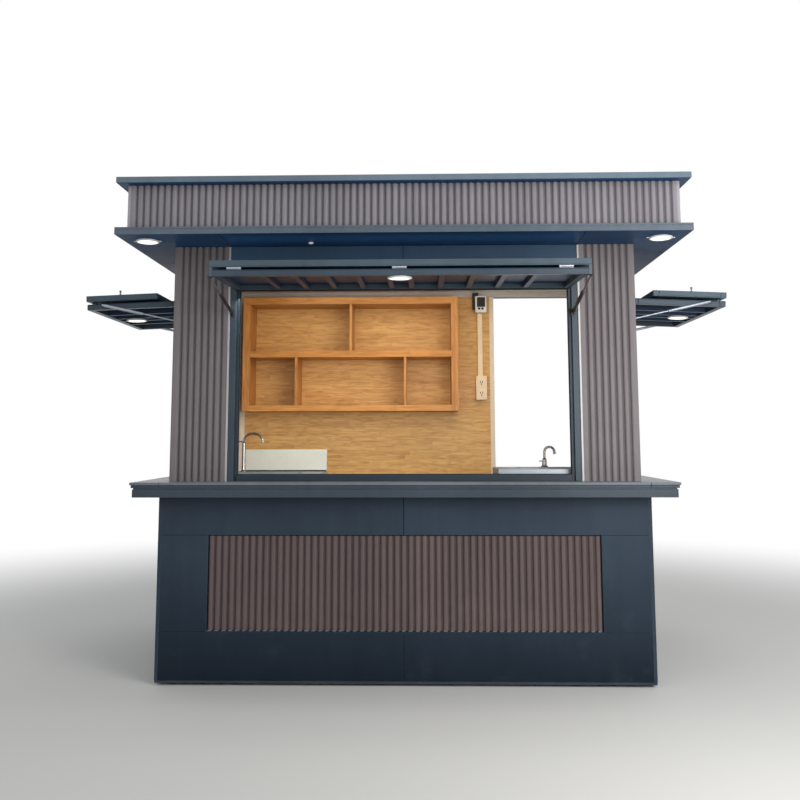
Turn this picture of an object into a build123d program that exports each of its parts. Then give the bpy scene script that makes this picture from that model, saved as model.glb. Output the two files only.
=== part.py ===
from build123d import *
import math
import os

# Street kiosk: a base with a counter shelf on three sides, an upper body with three serving
# windows under two-leaf flaps, and a flat overhanging roof. Millimetres, +Z up, +Y to the back.
# The origin is on the ground at the middle of the base.

# Base sizes
base_width = 2440
body_depth = 1500
ground_gap = 12
base_wall_height = 944
base_wall = 80
skid_tube = 60
skid_bays = 4
floor_thickness = 20

# Fluted panel set into each base wall
panel_margin_side = 250
panel_margin_bottom = 244
panel_height = 464
panel_recess = 20
panel_thickness = 16
panel_reveal = 4

# Boards of the fluted panels, with a groove at each joint
board_ribs = 5
rib_spacing = 34
first_rib = 29
groove_width = 9
groove_depth = 10

# Counter shelf
counter_thickness = 27
counter_overhang = 117
counter_joint_inset = 27
wing_length = 1130
apron_thickness = 20
apron_height = 39
apron_gap = 6
apron_gap_recess = 8

# Upper body
upper_setback = 44
upper_wall = 60
wall_height = 1193
corner_panel_width = 292
trim_width = 16
trim_proud = 5
trim_gap = 2

# Window frames
frame_width = 54
frame_depth = 55
frame_head = 30
sill_height = 33
front_opening_height = 934
side_opening_length = 820
side_opening_height = 874
side_window_setback = 86

# Two-leaf flaps
leaf_overlap = 20
outer_leaf_lap = 15
front_flap_shift = -6
leaf_thickness = 30
leaf_sheet = 4
leaf_rail = 30
rib_width = 25
rib_pitch = 143
lamp_bay = 100
fold_gap = 13
flap_tilt = 2.3
pivot_radius = 6
pivot_rise = 12
front_inner_leaf = 510
front_outer_leaf = 430
side_inner_leaf = 480
side_outer_leaf = 377
hinge_length = 72
hinge_depth = 20
hinge_inset = 98

# Gas struts
strut_offset = 16
front_strut_drop = 132
front_strut_inset = 20
front_pin_rise = -12
side_strut_drop = 97
side_strut_inset = 80
side_pin_rise = 8
strut_tube_radius = 9
strut_rod_radius = 4
strut_pin_radius = 5
strut_tube_share = 0.55
bracket_width = 24
bracket_height = 40
bracket_depth = 14

# Lamps
lamp_radius = 57
lamp_thickness = 8
front_flap_lamp_inset = 70
side_flap_lamp_inset = 125
soffit_lamp_inset = 117
soffit_lamp_setback = 152

# Roof
soffit_thickness = 36
fascia_height = 218
fascia_board = 40
rim_height = 32
rim_width = 120
deck_thickness = 30
deck_drop = 30
deck_ribs = 13
deck_rib_width = 40
deck_rib_height = 12
deck_margin = 30
front_overhang = 254
side_overhang = 166
cap_overhang = 47

# Back wall and doorway
door_post = 72
door_width = 530
lining_thickness = 10
ceiling_band = 43
band_thickness = 12
edge_trim_width = 29
edge_trim_thickness = 4

# Shelf unit on the back wall
shelf_left = 55
shelf_gap = 247
shelf_drop = 73
shelf_height = 736
shelf_depth = 230
shelf_stile = 45
bottom_board = 38
middle_board = 42
top_board = 46
lower_row_height = 308
shelf_divider = 17
upper_divider_shift = 6
lower_divider_left = 337
lower_divider_right = 350

# Electrical fittings on the back wall
breaker_inset = 87
breaker_width = 74
breaker_height = 110
breaker_depth = 60
duct_inset = 93
duct_width = 32
duct_depth = 16
socket_inset = 82
socket_width = 62
socket_height = 159
socket_depth = 40
socket_bottom = 461

# Worktops with a sink, one at each end of the front wall
left_worktop_width = 688
right_worktop_width = 641
left_worktop_rise = 34
right_worktop_rise = 57
worktop_depth = 360
worktop_skin = 30
worktop_leg = 40
leg_inset = 56
bowl_width = 400
bowl_depth = 250
bowl_height = 180
bowl_wall = 4
bowl_end_inset = 110
bowl_front_inset = 45
splash_width = 445
splash_height = 127
splash_thickness = 12
tap_radius = 7
tap_neck_radius = 9
tap_base_radius = 20
tap_base_height = 36
tap_setback = 36
left_tap_inset = 236
left_tap_height = 154
left_tap_arch = 52
right_tap_inset = 277
right_tap_height = 80
right_tap_arch = 27

# Levels and edges worked out from the sizes above
base_half = base_width / 2
upper_half = base_half - upper_setback
front_y = -body_depth / 2
back_y = body_depth / 2
base_top = ground_gap + base_wall_height
counter_top = base_top + counter_thickness
sill_top = counter_top + sill_height
soffit_z = counter_top + wall_height
front_opening_width = 2 * (upper_half - corner_panel_width - frame_width)
front_opening_top = sill_top + front_opening_height
side_opening_top = sill_top + side_opening_height
side_window_y = front_y + side_window_setback + frame_width + side_opening_length / 2
counter_half = base_half + counter_overhang
counter_front = front_y - counter_overhang
wing_back = counter_front + wing_length
joint_x = base_half - counter_joint_inset
upper_inner = upper_half - upper_wall
base_inner = base_half - base_wall
door_right = upper_half - door_post
door_left = door_right - door_width
door_top = soffit_z - ceiling_band
lining_y = back_y - upper_wall - lining_thickness
floor_top = skid_tube + floor_thickness
fascia_half = upper_half + side_overhang
fascia_front = front_y - front_overhang
fascia_back = back_y + side_overhang
cap_half = fascia_half + cap_overhang
cap_y = (fascia_front - cap_overhang, fascia_back + cap_overhang)
fascia_z = soffit_z + soffit_thickness
rim_z = fascia_z + fascia_height

os.makedirs("parts", exist_ok=True)


def save(piece, label):
    piece.part.label = label
    export_step(piece.part, f"parts/{label}.step")


def box(x_span, y_span, z_span, mode=Mode.ADD):
    """One box from its lowest and highest x, y and z."""
    with BuildSketch(Plane.XY.offset(z_span[0])) as outline:
        with Locations(((x_span[0] + x_span[1]) / 2, (y_span[0] + y_span[1]) / 2)):
            Rectangle(x_span[1] - x_span[0], y_span[1] - y_span[0])
    extrude(outline.sketch, amount=z_span[1] - z_span[0], mode=mode)


def slab(label, *boxes):
    """A piece of plain boxes: each is an x, a y and a z span."""
    with BuildPart() as piece:
        for spans in boxes:
            box(*spans)
    save(piece, label)


# Skid frame: a tube ring with three cross members, and a sill under the doorway
with BuildPart() as skid_frame:
    box((-base_inner, base_inner), (front_y + base_wall, back_y - base_wall), (0, skid_tube))
    bay_width = (2 * base_inner - (skid_bays + 1) * skid_tube) / skid_bays
    for bay in range(skid_bays):
        bay_left = -base_inner + skid_tube + bay * (bay_width + skid_tube)
        box(
            (bay_left, bay_left + bay_width),
            (front_y + base_wall + skid_tube, back_y - base_wall - skid_tube),
            (0, skid_tube),
            Mode.SUBTRACT,
        )
    box((door_left, door_right), (back_y - base_wall, back_y), (0, skid_tube))
save(skid_frame, "skid_frame")

# Floor sheet, with a tongue through the doorway
slab(
    "floor",
    ((-base_inner, base_inner), (front_y + base_wall, back_y - base_wall), (skid_tube, floor_top)),
    ((door_left, door_right), (back_y - base_wall, back_y), (skid_tube, floor_top)),
)

# Base walls, each with a shallow pocket for its fluted panel
panel_z = (ground_gap + panel_margin_bottom, ground_gap + panel_margin_bottom + panel_height)
front_panel_x = (-base_half + panel_margin_side, base_half - panel_margin_side)
back_panel_x = (-base_half + panel_margin_side, door_left - panel_margin_side)
side_panel_y = (front_y + panel_margin_side, back_y - panel_margin_side)
base_z = (ground_gap, base_top)

with BuildPart() as front_base_wall:
    box((-base_half, base_half), (front_y, front_y + base_wall), base_z)
    box(front_panel_x, (front_y, front_y + panel_recess), panel_z, Mode.SUBTRACT)
save(front_base_wall, "front_base_wall")

with BuildPart() as left_base_wall:
    box((-base_half, -base_inner), (front_y + base_wall, back_y - base_wall), base_z)
    box((-base_half, -base_half + panel_recess), side_panel_y, panel_z, Mode.SUBTRACT)
save(left_base_wall, "left_base_wall")

with BuildPart() as right_base_wall:
    box((base_inner, base_half), (front_y + base_wall, back_y - base_wall), base_z)
    box((base_half - panel_recess, base_half), side_panel_y, panel_z, Mode.SUBTRACT)
save(right_base_wall, "right_base_wall")

with BuildPart() as back_base_wall:
    box((-base_half, door_left), (back_y - base_wall, back_y), base_z)
    box(back_panel_x, (back_y - panel_recess, back_y), panel_z, Mode.SUBTRACT)
    box((door_right, base_half), (back_y - base_wall, back_y), base_z)
save(back_base_wall, "back_base_wall")


def shrink(span):
    return (span[0] + panel_reveal, span[1] - panel_reveal)


def board_joints(start, end):
    """Spans of the joint grooves along a panel: one after each board's ribs."""
    room = end - start - 2 * first_rib
    count = round(room / rib_spacing)
    middles = [
        start + first_rib + room * rib / count
        for rib in range(board_ribs - 1, count + 1, board_ribs)
    ]
    return [(middle - groove_width / 2, middle + groove_width / 2) for middle in middles]


# Fluted panels, one in each pocket: its way along, its span, its face and the way into the wall
with BuildPart() as base_fluted_panels:
    for way, span, wall_face, inwards in (
        ("x", front_panel_x, front_y, 1),
        ("x", back_panel_x, back_y, -1),
        ("y", side_panel_y, -base_half, 1),
        ("y", side_panel_y, base_half, -1),
    ):
        length = shrink(span)
        face = wall_face + inwards * (panel_recess - panel_thickness)
        board = sorted((face, face + inwards * panel_thickness))
        groove = sorted((face, face + inwards * groove_depth))
        cuts = [(length, board, Mode.ADD)]
        cuts += [(joint, groove, Mode.SUBTRACT) for joint in board_joints(*length)]
        for along, across, mode in cuts:
            spans = (along, across) if way == "x" else (across, along)
            box(*spans, shrink(panel_z), mode)
save(base_fluted_panels, "base_fluted_panels")

# Counter: the front slab carries the front panels, and a wing runs along each side
counter_z = (base_top, counter_top)
slab("front_counter", ((-joint_x, joint_x), (counter_front, front_y + upper_wall), counter_z))

with BuildPart() as side_counters:
    for side in (-1, 1):
        with BuildSketch(Plane.XY.offset(base_top)):
            with BuildLine():
                Polyline(
                    (side * joint_x, counter_front),
                    (side * counter_half, counter_front),
                    (side * counter_half, wing_back),
                    (side * upper_half, wing_back),
                    (side * upper_half, front_y + upper_wall),
                    (side * joint_x, front_y + upper_wall),
                    close=True,
                )
            make_face()
        extrude(amount=counter_thickness)
save(side_counters, "side_counters")

# Apron: a strip under the counter's edge, with a narrow shadow gap above it
with BuildPart() as counter_apron:
    apron_bottom = base_top - apron_gap - apron_height
    for inset, bottom, height in (
        (0, apron_bottom, apron_height),
        (apron_gap_recess, base_top - apron_gap, apron_gap),
    ):
        outer = counter_half - inset
        inner = counter_half - apron_thickness
        near = counter_front + inset
        far = wing_back - inset
        with BuildSketch(Plane.XY.offset(bottom)):
            with Locations((0, (near + far) / 2)):
                Rectangle(2 * outer, far - near)
            inner_near = counter_front + apron_thickness
            inner_far = wing_back - apron_thickness
            with Locations((0, (inner_near + inner_far) / 2)):
                Rectangle(2 * inner, inner_far - inner_near, mode=Mode.SUBTRACT)
            with Locations((0, (front_y + wing_back) / 2)):
                Rectangle(base_width, wing_back - front_y, mode=Mode.SUBTRACT)
        extrude(amount=height)
save(counter_apron, "counter_apron")

# Front panels beside the window, and the header over it
wall_z = (counter_top, soffit_z)
corner_inner = upper_half - corner_panel_width
front_wall_y = (front_y, front_y + upper_wall)
slab("front_left_panel", ((-upper_half, -corner_inner), front_wall_y, wall_z))
slab("front_right_panel", ((corner_inner, upper_half), front_wall_y, wall_z))
slab(
    "front_header",
    (
        (-corner_inner, corner_inner),
        front_wall_y,
        (front_opening_top + frame_head, soffit_z),
    ),
)

# Light metal strips on the inner edges of the front panels
trim_y = (front_y - trim_proud, front_y)
slab(
    "corner_trims",
    ((-corner_inner - trim_width, -corner_inner), trim_y, (counter_top, soffit_z - trim_gap)),
    ((corner_inner, corner_inner + trim_width), trim_y, (counter_top, soffit_z - trim_gap)),
)

# Side walls, each notched for its window frame
side_frame_y = (
    side_window_y - side_opening_length / 2 - frame_width,
    side_window_y + side_opening_length / 2 + frame_width,
)
side_wall_y = (front_y + upper_wall, back_y - upper_wall)
for label, span in (
    ("left_wall", (-upper_half, -upper_inner)),
    ("right_wall", (upper_inner, upper_half)),
):
    with BuildPart() as side_wall:
        box(span, side_wall_y, (base_top, soffit_z))
        box(span, side_frame_y, (base_top, side_opening_top + frame_head), Mode.SUBTRACT)
    save(side_wall, label)

# Back wall, split beside and over the doorway
back_wall_y = (back_y - upper_wall, back_y)
upper_z = (base_top, soffit_z)
slab("back_wall", ((-upper_half, door_left), back_wall_y, upper_z))
slab("back_wall_post", ((door_right, upper_half), back_wall_y, upper_z))
slab("door_header", ((door_left, door_right), back_wall_y, (door_top, soffit_z)))

# Lining of the back wall, its edge trims and the band under the ceiling
lining_front = (lining_y, lining_y + lining_thickness)
slab("back_lining", ((-upper_inner, door_left), lining_front, (base_top, door_top)))
lining_trim_y = (lining_y - edge_trim_thickness, lining_y)
slab(
    "lining_edge_trims",
    ((-upper_inner, -upper_inner + edge_trim_width), lining_trim_y, (base_top, door_top)),
    ((door_left - edge_trim_width, door_left), lining_trim_y, (base_top, door_top)),
)
slab(
    "ceiling_band",
    (
        (-upper_inner, upper_inner),
        (back_y - upper_wall - band_thickness, back_y - upper_wall),
        (door_top, soffit_z),
    ),
)


def wall_plane(side, opening_top):
    """The wall's outer face: x runs along the wall, y up from the opening's top, z outwards."""
    if side == "front":
        return Plane(origin=(0, front_y, opening_top), x_dir=(1, 0, 0), z_dir=(0, -1, 0))
    if side == "left":
        origin = (-upper_half, side_window_y, opening_top)
        return Plane(origin=origin, x_dir=(0, -1, 0), z_dir=(-1, 0, 0))
    origin = (upper_half, side_window_y, opening_top)
    return Plane(origin=origin, x_dir=(0, 1, 0), z_dir=(1, 0, 0))


def flap_plane(wall, shift):
    """The open flap: x along the hinge, y inwards, z up, all turned down by the tilt."""
    pivot = wall.from_local_coords((shift, pivot_rise, pivot_radius))
    tilt = math.radians(flap_tilt)
    up = Vector(0, 0, 1) * math.cos(tilt) + wall.z_dir * math.sin(tilt)
    return Plane(origin=pivot, x_dir=wall.x_dir, z_dir=up)


def window_frame(side, wall, opening_width, opening_height, frame_bottom):
    """A ring of box tube around the opening, flush with the wall's outer face."""
    bottom = frame_bottom - wall.origin.Z
    with BuildPart() as frame:
        with BuildSketch(wall.offset(-frame_depth)):
            with Locations((0, (frame_head + bottom) / 2)):
                Rectangle(opening_width + 2 * frame_width, frame_head - bottom)
            with Locations((0, -opening_height / 2)):
                Rectangle(opening_width, opening_height, mode=Mode.SUBTRACT)
        extrude(amount=frame_depth)
    save(frame, f"{side}_window_frame")


def rib_positions(length):
    """Rib middles along a leaf: a narrow bay in the middle for the lamp, then equal bays."""
    room = length / 2 - leaf_rail - rib_width
    count = int((room - lamp_bay / 2) // rib_pitch) + 1
    half = [lamp_bay / 2 + rib_pitch * rib for rib in range(count)]
    if room - half[-1] < rib_pitch / 2:
        half.pop()
    return [-place for place in reversed(half)] + half


def leaf(label, flap, length, width, near, bottom, sheet_up):
    """A leaf: a tube frame with cross ribs under a sheet. Near is its end by the wall."""
    ribs = rib_positions(length)
    rail_ends = (-length / 2 + leaf_rail, length / 2 - leaf_rail)
    bays = list(zip(
        [rail_ends[0]] + [rib + rib_width / 2 for rib in ribs],
        [rib - rib_width / 2 for rib in ribs] + [rail_ends[1]],
    ))
    with BuildPart() as piece:
        with BuildSketch(flap.offset(bottom)):
            with Locations((0, near - width / 2)):
                Rectangle(length, width)
        extrude(amount=leaf_thickness)
        with BuildSketch(flap.offset(bottom if sheet_up else bottom + leaf_sheet)):
            for start, end in bays:
                with Locations(((start + end) / 2, near - width / 2)):
                    Rectangle(end - start, width - 2 * leaf_rail)
        extrude(amount=leaf_thickness - leaf_sheet, mode=Mode.SUBTRACT)
    save(piece, label)


windows = (
    ("front", front_opening_width, front_opening_height, front_opening_top, counter_top,
     front_inner_leaf, front_outer_leaf),
    ("left", side_opening_length, side_opening_height, side_opening_top, base_top,
     side_inner_leaf, side_outer_leaf),
    ("right", side_opening_length, side_opening_height, side_opening_top, base_top,
     side_inner_leaf, side_outer_leaf),
)

# Window frames and flaps on the front and both sides. The outer leaf laps the inner one's ends.
flaps = []
for side, width, height, top, frame_bottom, inner_width, outer_width in windows:
    wall = wall_plane(side, top)
    shift = front_flap_shift if side == "front" else 0
    flap = flap_plane(wall, shift)
    length = width + 2 * leaf_overlap
    outer_length = length + 2 * outer_leaf_lap
    inner_end = -pivot_radius - inner_width
    window_frame(side, wall, width, height, frame_bottom)
    inner_bottom = -leaf_thickness / 2
    outer_bottom = leaf_thickness / 2 + fold_gap
    outer_near = inner_end + outer_width
    leaf(f"{side}_flap_inner_leaf", flap, length, inner_width, -pivot_radius, inner_bottom, True)
    leaf(f"{side}_flap_outer_leaf", flap, outer_length, outer_width, outer_near, outer_bottom, False)
    flaps.append((side, wall, flap, shift, length, inner_end))

# Hinges: a pivot bar at the wall, and three fold hinges between the leaves' outer ends
with BuildPart() as flap_hinges:
    for side, wall, flap, shift, length, inner_end in flaps:
        bar_start = flap.from_local_coords((-length / 2, 0, 0))
        with BuildSketch(Plane(bar_start, z_dir=flap.x_dir)):
            Circle(pivot_radius)
        extrude(amount=length)
        spread = length / 2 - hinge_inset
        with BuildSketch(flap.offset(leaf_thickness / 2)):
            with Locations(*[(x, inner_end + hinge_depth / 2) for x in (-spread, 0, spread)]):
                Rectangle(hinge_length, hinge_depth)
        extrude(amount=fold_gap)
save(flap_hinges, "flap_hinges")

# Gas struts: from a bracket on the wall to a pin in the end of the inner leaf. The thick tube
# stands at the wall on the front flap and at the leaf on the side flaps.
with BuildPart() as gas_struts:
    for side, wall, flap, shift, length, inner_end in flaps:
        front = side == "front"
        foot_y = pivot_rise - (front_strut_drop if front else side_strut_drop)
        leaf_y = inner_end + (front_strut_inset if front else side_strut_inset)
        pin_z = front_pin_rise if front else side_pin_rise
        for end in (-1, 1):
            strut_x = end * (length / 2 + strut_offset)
            foot = wall.from_local_coords((strut_x + shift, foot_y, bracket_depth / 2))
            top = flap.from_local_coords((strut_x, leaf_y, pin_z))
            thick_end, thin_end = (foot, top) if front else (top, foot)
            along = thin_end - thick_end
            with BuildSketch(Plane(thick_end, z_dir=along)):
                Circle(strut_tube_radius)
            extrude(amount=along.length * strut_tube_share)
            with BuildSketch(Plane(thick_end, z_dir=along)):
                Circle(strut_rod_radius)
            extrude(amount=along.length)
            pin_start = flap.from_local_coords((end * length / 2, leaf_y, pin_z))
            with BuildSketch(Plane(pin_start, z_dir=flap.x_dir * end)):
                Circle(strut_pin_radius)
            extrude(amount=strut_offset + strut_tube_radius)
            with BuildSketch(wall):
                with Locations((strut_x + shift, foot_y)):
                    Rectangle(bracket_width, bracket_height)
            extrude(amount=bracket_depth)
save(gas_struts, "gas_struts")

# Round lamps under the flaps and under the front of the roof
lamp_planes = []
for side, wall, flap, shift, length, inner_end in flaps:
    lamp_y = inner_end + (front_flap_lamp_inset if side == "front" else side_flap_lamp_inset)
    lamp_centre = flap.from_local_coords((0, lamp_y, -leaf_thickness / 2))
    lamp_planes.append(Plane(lamp_centre, x_dir=flap.x_dir, z_dir=-flap.z_dir))
for end in (-1, 1):
    lamp_centre = (end * (cap_half - soffit_lamp_inset), cap_y[0] + soffit_lamp_setback, soffit_z)
    lamp_planes.append(Plane(lamp_centre, x_dir=(1, 0, 0), z_dir=(0, 0, -1)))
with BuildPart() as round_lamps:
    for lamp_plane in lamp_planes:
        with BuildSketch(lamp_plane):
            Circle(lamp_radius)
        extrude(amount=lamp_thickness)
save(round_lamps, "round_lamps")

# Roof: the soffit board, the fascia ring, the rim cap and the deck inside it
slab("soffit_board", ((-cap_half, cap_half), cap_y, (soffit_z, fascia_z)))

with BuildPart() as roof_fascia:
    box((-fascia_half, fascia_half), (fascia_front, fascia_back), (fascia_z, rim_z))
    box(
        (-fascia_half + fascia_board, fascia_half - fascia_board),
        (fascia_front + fascia_board, fascia_back - fascia_board),
        (fascia_z, rim_z),
        Mode.SUBTRACT,
    )
save(roof_fascia, "roof_fascia")

with BuildPart() as roof_rim:
    box((-cap_half, cap_half), cap_y, (rim_z, rim_z + rim_height))
    box(
        (-cap_half + rim_width, cap_half - rim_width),
        (cap_y[0] + rim_width, cap_y[1] - rim_width),
        (rim_z, rim_z + rim_height),
        Mode.SUBTRACT,
    )
save(roof_rim, "roof_rim")

# Deck inside the fascia: a sheet with raised ribs from front to back
deck_x = (-fascia_half + fascia_board, fascia_half - fascia_board)
deck_y = (fascia_front + fascia_board, fascia_back - fascia_board)
deck_top = rim_z - deck_drop
sheet_top = deck_top - deck_rib_height
with BuildPart() as roof_deck:
    box(deck_x, deck_y, (deck_top - deck_thickness, sheet_top))
    rib_step = (deck_x[1] - deck_x[0] - 2 * deck_margin) / deck_ribs
    for rib in range(deck_ribs):
        middle = deck_x[0] + deck_margin + rib_step * (rib + 0.5)
        rib_x = (middle - deck_rib_width / 2, middle + deck_rib_width / 2)
        box(rib_x, deck_y, (sheet_top, deck_top))
save(roof_deck, "roof_deck")

# Shelf unit: an open case with a middle board and three dividers
shelf_x = -upper_inner + shelf_left
shelf_width = door_left - shelf_gap - shelf_x
shelf_z = soffit_z - shelf_drop - shelf_height
shelf_y = (lining_y - shelf_depth, lining_y)
lower_row = (shelf_z + bottom_board, shelf_z + bottom_board + lower_row_height)
upper_row = (lower_row[1] + middle_board, shelf_z + shelf_height - top_board)
with BuildPart() as shelf_unit:
    box((shelf_x, shelf_x + shelf_width), shelf_y, (shelf_z, shelf_z + shelf_height))
    for row, dividers in (
        (lower_row, (lower_divider_left, shelf_width - lower_divider_right)),
        (upper_row, (shelf_width / 2 - upper_divider_shift,)),
    ):
        starts = [shelf_stile] + [divider + shelf_divider for divider in dividers]
        ends = list(dividers) + [shelf_width - shelf_stile]
        for start, end in zip(starts, ends):
            box((shelf_x + start, shelf_x + end), shelf_y, row, Mode.SUBTRACT)
save(shelf_unit, "shelf_unit")


def wall_fitting(inset, width, depth, z_span):
    """A box on the lining: its middle's distance from the doorway, its sizes and its z span."""
    middle = door_left - inset
    return ((middle - width / 2, middle + width / 2), (lining_y - depth, lining_y), z_span)


# Breaker box, and the double socket with the cable duct down to it
breaker_z = door_top - breaker_height
socket_z = counter_top + socket_bottom
socket_end = socket_z + socket_height
breaker_span = (breaker_z, door_top)
slab("breaker_box", wall_fitting(breaker_inset, breaker_width, breaker_depth, breaker_span))
slab(
    "socket_and_duct",
    wall_fitting(socket_inset, socket_width, socket_depth, (socket_z, socket_end)),
    wall_fitting(duct_inset, duct_width, duct_depth, (socket_end, breaker_z)),
)

# Worktops along the front wall: a steel top with a bowl, on four legs, and a tap behind the bowl
worktop_near = front_y + upper_wall
worktop_far = worktop_near + worktop_depth
bowl_y = (worktop_near + bowl_front_inset, worktop_near + bowl_front_inset + bowl_depth)
leg_near = (front_y + base_wall, front_y + base_wall + worktop_leg)
leg_far = (worktop_far - worktop_leg, worktop_far)


def worktop(side, top, ends, wall_leg, free_leg, bowl_x):
    with BuildPart() as piece:
        box(ends, (worktop_near, worktop_far), (top - worktop_skin, top))
        box(bowl_x, bowl_y, (top - bowl_height, top))
        box(
            (bowl_x[0] + bowl_wall, bowl_x[1] - bowl_wall),
            (bowl_y[0] + bowl_wall, bowl_y[1] - bowl_wall),
            (top - bowl_height + bowl_wall, top),
            Mode.SUBTRACT,
        )
        for leg_x in (wall_leg, free_leg):
            for leg_y in (leg_near, leg_far):
                box(leg_x, leg_y, (floor_top, top - worktop_skin))
    save(piece, f"{side}_worktop")


leg_outer = upper_inner - leg_inset
leg_inner = leg_outer - worktop_leg
left_top = counter_top + left_worktop_rise
left_end = left_worktop_width - upper_inner
left_bowl_right = left_end - bowl_end_inset
worktop(
    "left",
    left_top,
    (-upper_inner, left_end),
    (-leg_outer, -leg_inner),
    (left_end - worktop_leg, left_end),
    (left_bowl_right - bowl_width, left_bowl_right),
)

right_top = counter_top + right_worktop_rise
right_end = upper_inner - right_worktop_width
right_bowl_left = right_end + bowl_end_inset
worktop(
    "right",
    right_top,
    (right_end, upper_inner),
    (leg_inner, leg_outer),
    (right_end, right_end + worktop_leg),
    (right_bowl_left, right_bowl_left + bowl_width),
)

# Taps: a flared foot, an upright and a half-round spout
tap_y = worktop_far - tap_setback
with BuildPart() as taps:
    for tap_x, top, height, arch in (
        (left_tap_inset - upper_inner, left_top, left_tap_height, left_tap_arch),
        (right_end + right_tap_inset, right_top, right_tap_height, right_tap_arch),
    ):
        with BuildSketch(Plane.XY.offset(top)):
            with Locations((tap_x, tap_y)):
                Circle(tap_base_radius)
        with BuildSketch(Plane.XY.offset(top + tap_base_height)):
            with Locations((tap_x, tap_y)):
                Circle(tap_neck_radius)
        loft()
        with BuildLine() as route:
            upright = Line(
                (tap_x, tap_y, top + tap_base_height / 2),
                (tap_x, tap_y, top + height),
            )
            ThreePointArc(
                upright @ 1,
                (tap_x + arch, tap_y, top + height + arch),
                (tap_x + 2 * arch, tap_y, top + height),
            )
        with BuildSketch(Plane(upright @ 0, z_dir=(0, 0, 1))):
            Circle(tap_radius)
        sweep(path=route.line)
save(taps, "taps")

# White board standing at the back of the left worktop
slab(
    "splash_board",
    (
        (left_end - splash_width, left_end),
        (worktop_far - splash_thickness, worktop_far),
        (left_top, left_top + splash_height),
    ),
)
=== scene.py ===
"""Street kiosk: the visual model around its solids. Sizes are in millimetres until a mesh is made."""

import math
import random

import bmesh
import bpy
from mathutils import Matrix, Vector


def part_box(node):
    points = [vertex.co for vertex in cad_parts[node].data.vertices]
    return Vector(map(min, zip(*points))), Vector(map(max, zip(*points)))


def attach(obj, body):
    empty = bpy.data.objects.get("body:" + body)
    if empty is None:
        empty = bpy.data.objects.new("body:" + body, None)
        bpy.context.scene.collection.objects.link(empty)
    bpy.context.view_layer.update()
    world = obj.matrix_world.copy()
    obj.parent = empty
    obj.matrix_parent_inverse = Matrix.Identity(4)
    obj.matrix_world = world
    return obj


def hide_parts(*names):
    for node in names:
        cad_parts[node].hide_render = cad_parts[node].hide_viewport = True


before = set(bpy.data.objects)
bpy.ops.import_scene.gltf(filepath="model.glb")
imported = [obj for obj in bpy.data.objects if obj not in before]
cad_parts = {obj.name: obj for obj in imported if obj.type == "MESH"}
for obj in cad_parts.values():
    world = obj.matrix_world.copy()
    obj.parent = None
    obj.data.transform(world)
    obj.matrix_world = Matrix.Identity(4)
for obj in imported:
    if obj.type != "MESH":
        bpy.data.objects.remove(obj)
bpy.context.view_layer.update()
random.seed(11)
scene = bpy.context.scene

MM = 0.001
SHARP_ANGLE = math.radians(35)
SHEET = 3
SEAM = 3.2
MITRE_GAP = 0.5
FLUTE_PITCH = 34
FLUTE_DEPTH = 10
GROOVE = 8
# Painted shade: the tone that darkens the backing seen in the fluted boards' grooves
GROOVE_SHADE = -7.5
TRIM_WIDTH = 10

# Planes and levels of the kiosk
FRONT_Y = -750
BACK_Y = 750
LINING_Y = 680
BASE_HALF = 1220
BASE_DEPTH = 80
UPPER_HALF = 1176
UPPER_DEPTH = 60
SIDE_INNER = UPPER_HALF - UPPER_DEPTH
CORNER_INNER = 884
DOOR_LEFT = 574
DOOR_RIGHT = 1104
DOOR_TOP = 2133
GROUND_GAP = 12
CHANNEL_TOP = 24
INSET_MARGIN = 250
INSET_DEPTH = 20
INSET_Z = (256, 720)
BASE_TOP = 956
COUNTER_TOP = 983
TRIM_TOP = 2174
SOFFIT_Z = 2176
BASE_Z = (CHANNEL_TOP, BASE_TOP)
UPPER_Z = (COUNTER_TOP, SOFFIT_Z)
FRONT_OPENING_TOP = 1950
SIDE_OPENING_TOP = 1890
SIDE_WINDOW_Y = -200
SIDE_FRAME_END = 264


def srgb(red, green, blue):
    """A linear colour from sRGB values of 0 to 255."""
    def linear(value):
        value /= 255
        return value / 12.92 if value <= 0.04045 else ((value + 0.055) / 1.055) ** 2.4
    return (linear(red), linear(green), linear(blue), 1.0)


# Materials

class Nodes:
    """A node tree, with short calls for the kinds it uses."""

    def __init__(self, tree):
        self.tree = tree

    def put(self, socket, value):
        if isinstance(value, bpy.types.NodeSocket):
            self.tree.links.new(value, socket)
        else:
            socket.default_value = value

    def node(self, kind, values, output=0, **settings):
        made = self.tree.nodes.new("ShaderNode" + kind)
        for name, value in settings.items():
            setattr(made, name, value)
        for key, value in values.items():
            self.put(made.inputs[key], value)
        return made.outputs[output]

    def math(self, operation, first, second=0.0):
        return self.node("Math", {0: first, 1: second}, operation=operation)

    def add(self, total, *terms):
        for term in terms:
            total = self.math("ADD", total, term)
        return total

    def times(self, first, second):
        return self.math("MULTIPLY", first, second)

    def seen(self):
        """1 for what the camera, a mirror or a clear pane sees, 0 for what lights the object."""
        rays = self.tree.nodes.new("ShaderNodeLightPath").outputs
        bent = self.math("MAXIMUM", rays["Is Glossy Ray"], rays["Is Transmission Ray"])
        return self.math("MAXIMUM", rays["Is Camera Ray"], bent)

    def blend(self, factor, first, second, output):
        """Gives an output a mix of two shaders."""
        mixed = self.node("MixShader", {0: factor, 1: first, 2: second})
        self.put(self.tree.nodes[output].inputs["Surface"], mixed)


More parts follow.
